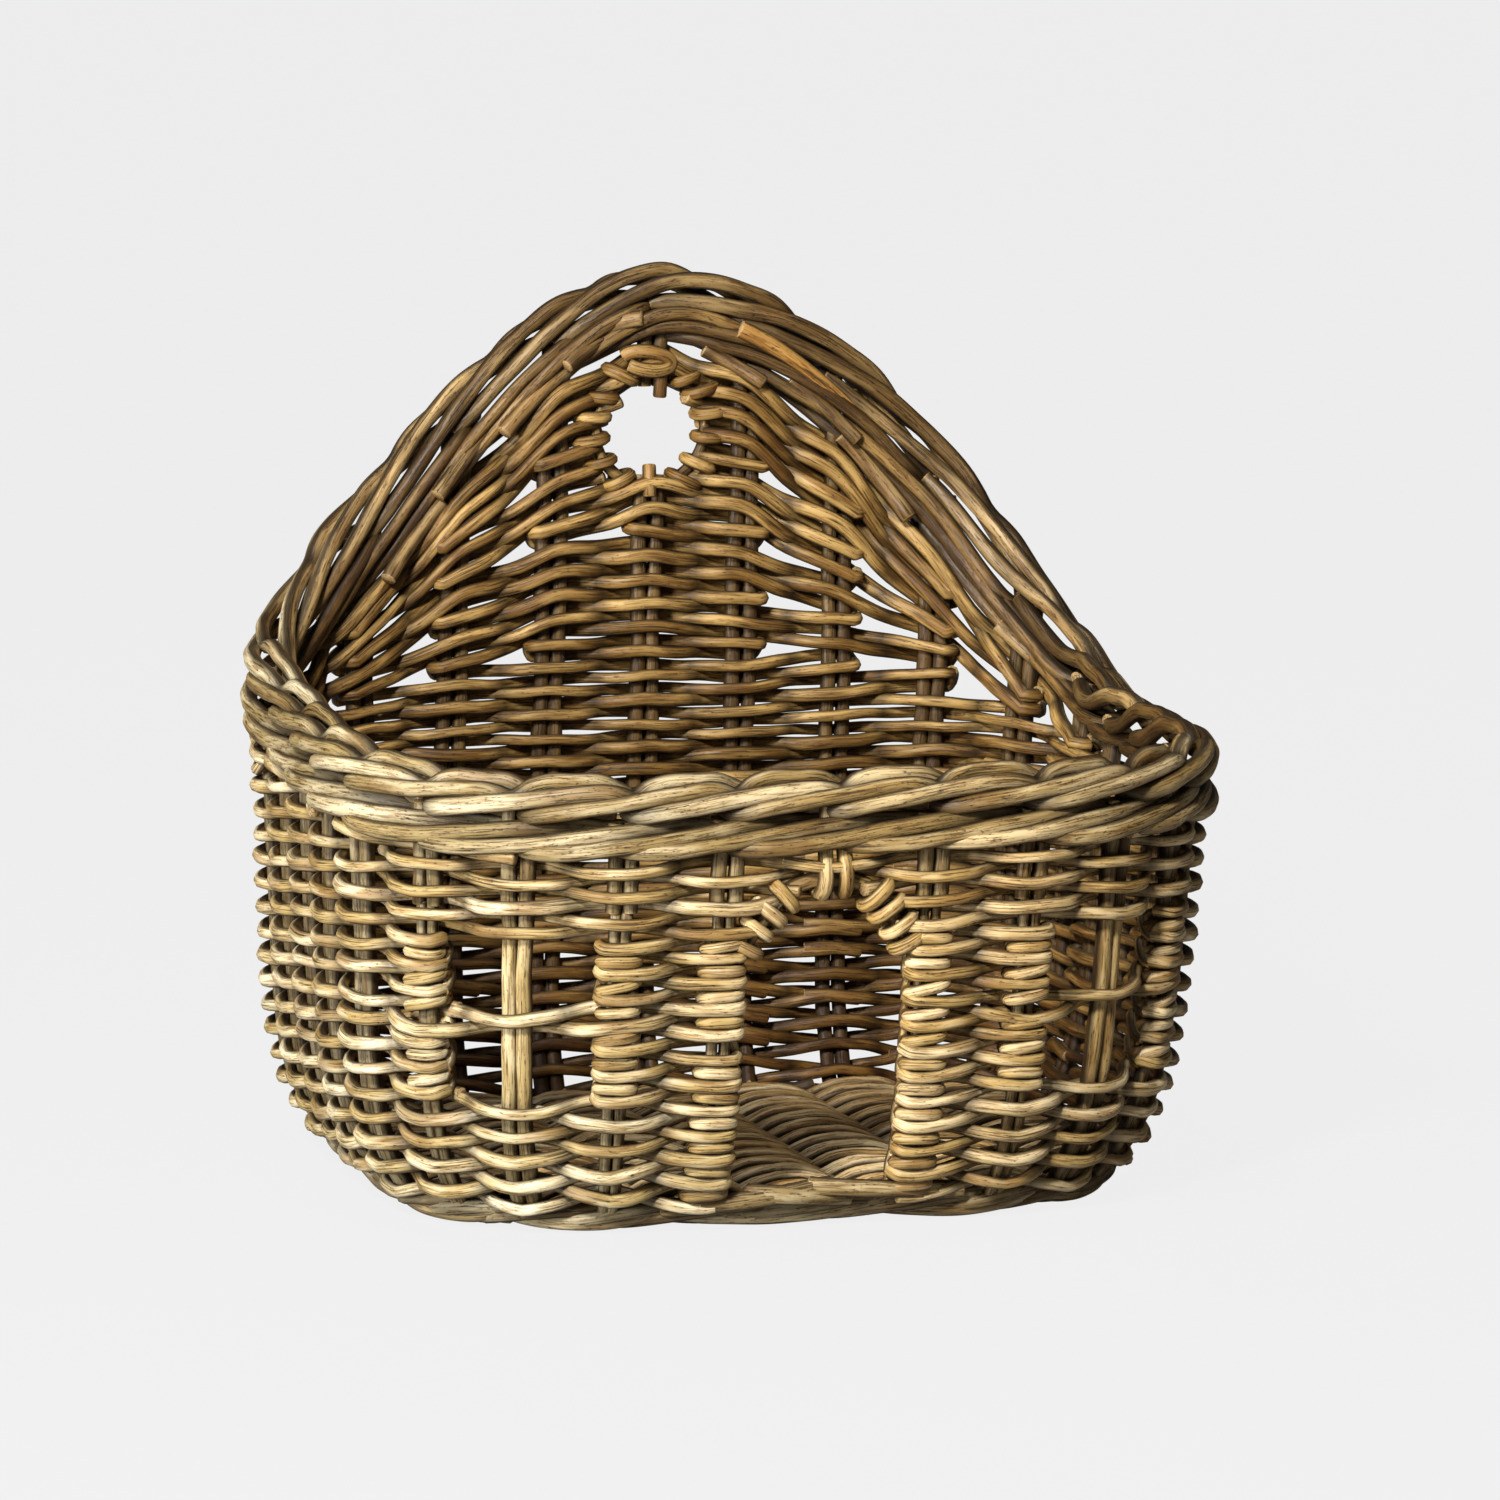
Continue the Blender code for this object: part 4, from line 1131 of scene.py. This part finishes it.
place(make_wall_rows().piece("wall_weavers", weave_finish), "weaving_cane", "foot_weave_front",
      "foot_weave_back_and_sides", "front_weave_above_windows", "back_weave",
      *each("door_pier_weave", "side_weave"),
      *[f"{bar}_{face}" for bar in each("window_bar") for face in ("outer", "inner")])
place(make_arch_rows().piece("arch_weavers", weave_finish), "weaving_cane", "arch_weave")
place(make_wraps().piece("post_wraps", weave_finish), "weaving_cane")
place(make_door_arch().piece("door_arch_canes", weave_finish), "weaving_cane", "door_arch_wrap")
place(make_hole_coils().piece("hanging_hole_coils", weave_finish), "weaving_cane",
      *each("hanging_hole_wrap"))
place(make_stakes().piece("stakes", stake_finish), "stake_cane", "door_head_stake",
      "back_centre_stake_lower", "back_centre_stake_upper",
      *each("door_post", "window_inner_post", "window_mullion", "window_outer_post", "corner_stake"),
      *numbered(5, *each("side_stake")), *numbered(3, *each("back_stake")))
place(make_border().piece("rolled_border", border_finish, thick_sides), "border_cane", "border_front",
      "border_arch", *each("border"))
place(make_wale().piece("rim_wale", wale_finish, thick_sides), "border_cane", "wale_front_and_sides",
      "wale_arch")
place(make_cut_ends().piece("cut_ends", border_finish), "border_cane")
place(make_fresh_cane().piece("fresh_cane", fresh_finish, thick_sides), "border_cane")
place(make_base_border().piece("base_border", foot_finish), "border_cane", *each("base_border"))
place(make_floor().piece("floor_canes", floor_finish), "floor_cane", "floor_weave")
place(make_ribs().piece("floor_ribs", floor_finish), "floor_cane", *numbered(5, "floor_rib"))


# Studio

def floor_stage():
    """A pale floor that keeps the basket's shadow but hardly shows its own shade to the camera."""
    finish = Finish("pale_floor")
    camera_ray = finish.add("ShaderNodeLightPath")
    paint = finish.add("ShaderNodeBsdfDiffuse", None, {"Color": (0.32, 0.32, 0.32, 1)})
    glow = finish.add("ShaderNodeEmission", None, {"Color": (0.905, 0.905, 0.905, 1), "Strength": 1.0})
    seen = finish.add("ShaderNodeMixShader", None, {0: 0.93, 1: paint, 2: glow})
    shader = finish.add("ShaderNodeMixShader", None, {0: camera_ray, 1: paint, 2: seen})
    shape = bmesh.new()
    bmesh.ops.create_grid(shape, x_segments=1, y_segments=1, size=24.0)
    mesh = bpy.data.meshes.new("studio_floor")
    shape.to_mesh(mesh)
    shape.free()
    mesh.materials.append(finish.end(shader))
    floor = link(bpy.data.objects.new("studio_floor", mesh))


def add_lamp(name, spot, size, power):
    """A round lamp that points at the middle of the basket."""
    aim = Vector((0.0, 0.0, 0.15))
    lamp = bpy.data.lights.new(name, "AREA")
    lamp.shape = "DISK"
    lamp.size = size
    lamp.energy = power
    holder = link(bpy.data.objects.new(name, lamp))
    holder.location = spot
    holder.rotation_euler = (aim - Vector(spot)).to_track_quat("-Z", "Y").to_euler()


def set_world():
    """A dim room, pale where the camera sees it."""
    world = bpy.data.worlds.new("studio")
    bpy.context.scene.world = world
    world.use_nodes = True
    nodes, links = world.node_tree.nodes, world.node_tree.links
    nodes.clear()
    path = nodes.new("ShaderNodeLightPath")
    seen, room = nodes.new("ShaderNodeBackground"), nodes.new("ShaderNodeBackground")
    seen.inputs["Color"].default_value = (0.863, 0.863, 0.863, 1)
    room.inputs["Color"].default_value = (1.0, 1.0, 1.0, 1)
    room.inputs["Strength"].default_value = 0.05
    mix, out = nodes.new("ShaderNodeMixShader"), nodes.new("ShaderNodeOutputWorld")
    links.new(path.outputs["Is Camera Ray"], mix.inputs[0])
    links.new(room.outputs[0], mix.inputs[1])
    links.new(seen.outputs[0], mix.inputs[2])
    links.new(mix.outputs[0], out.inputs["Surface"])


def set_camera():
    """The photograph's view: a long lens, a little above the basket and to its left."""
    aim = Vector((0.0067, 0.1576, 0.1840)) - Vector(origin)
    turn, height, reach = -0.25008, 0.13312, 3.91103
    lens = bpy.data.cameras.new("camera")
    lens.sensor_width = 36
    lens.lens = 218.65
    lens.clip_end = 100
    camera = link(bpy.data.objects.new("camera", lens))
    camera.location = aim + reach * Vector((math.cos(height) * math.sin(turn),
                                            -math.cos(height) * math.cos(turn), math.sin(height)))
    camera.rotation_euler = (aim - camera.location).to_track_quat("-Z", "Y").to_euler()
    bpy.context.scene.camera = camera


floor_stage()
add_lamp("key", (-1.15, -1.75, 1.45), size=0.4, power=75)
add_lamp("side", (-2.4, -1.1, 0.5), size=0.7, power=54)
add_lamp("fill", (1.8, -2.0, 0.8), size=1.2, power=1)
add_lamp("top", (-0.3, -0.2, 2.3), size=0.4, power=10)
set_world()
set_camera()
bpy.context.scene.view_settings.view_transform = "Standard"
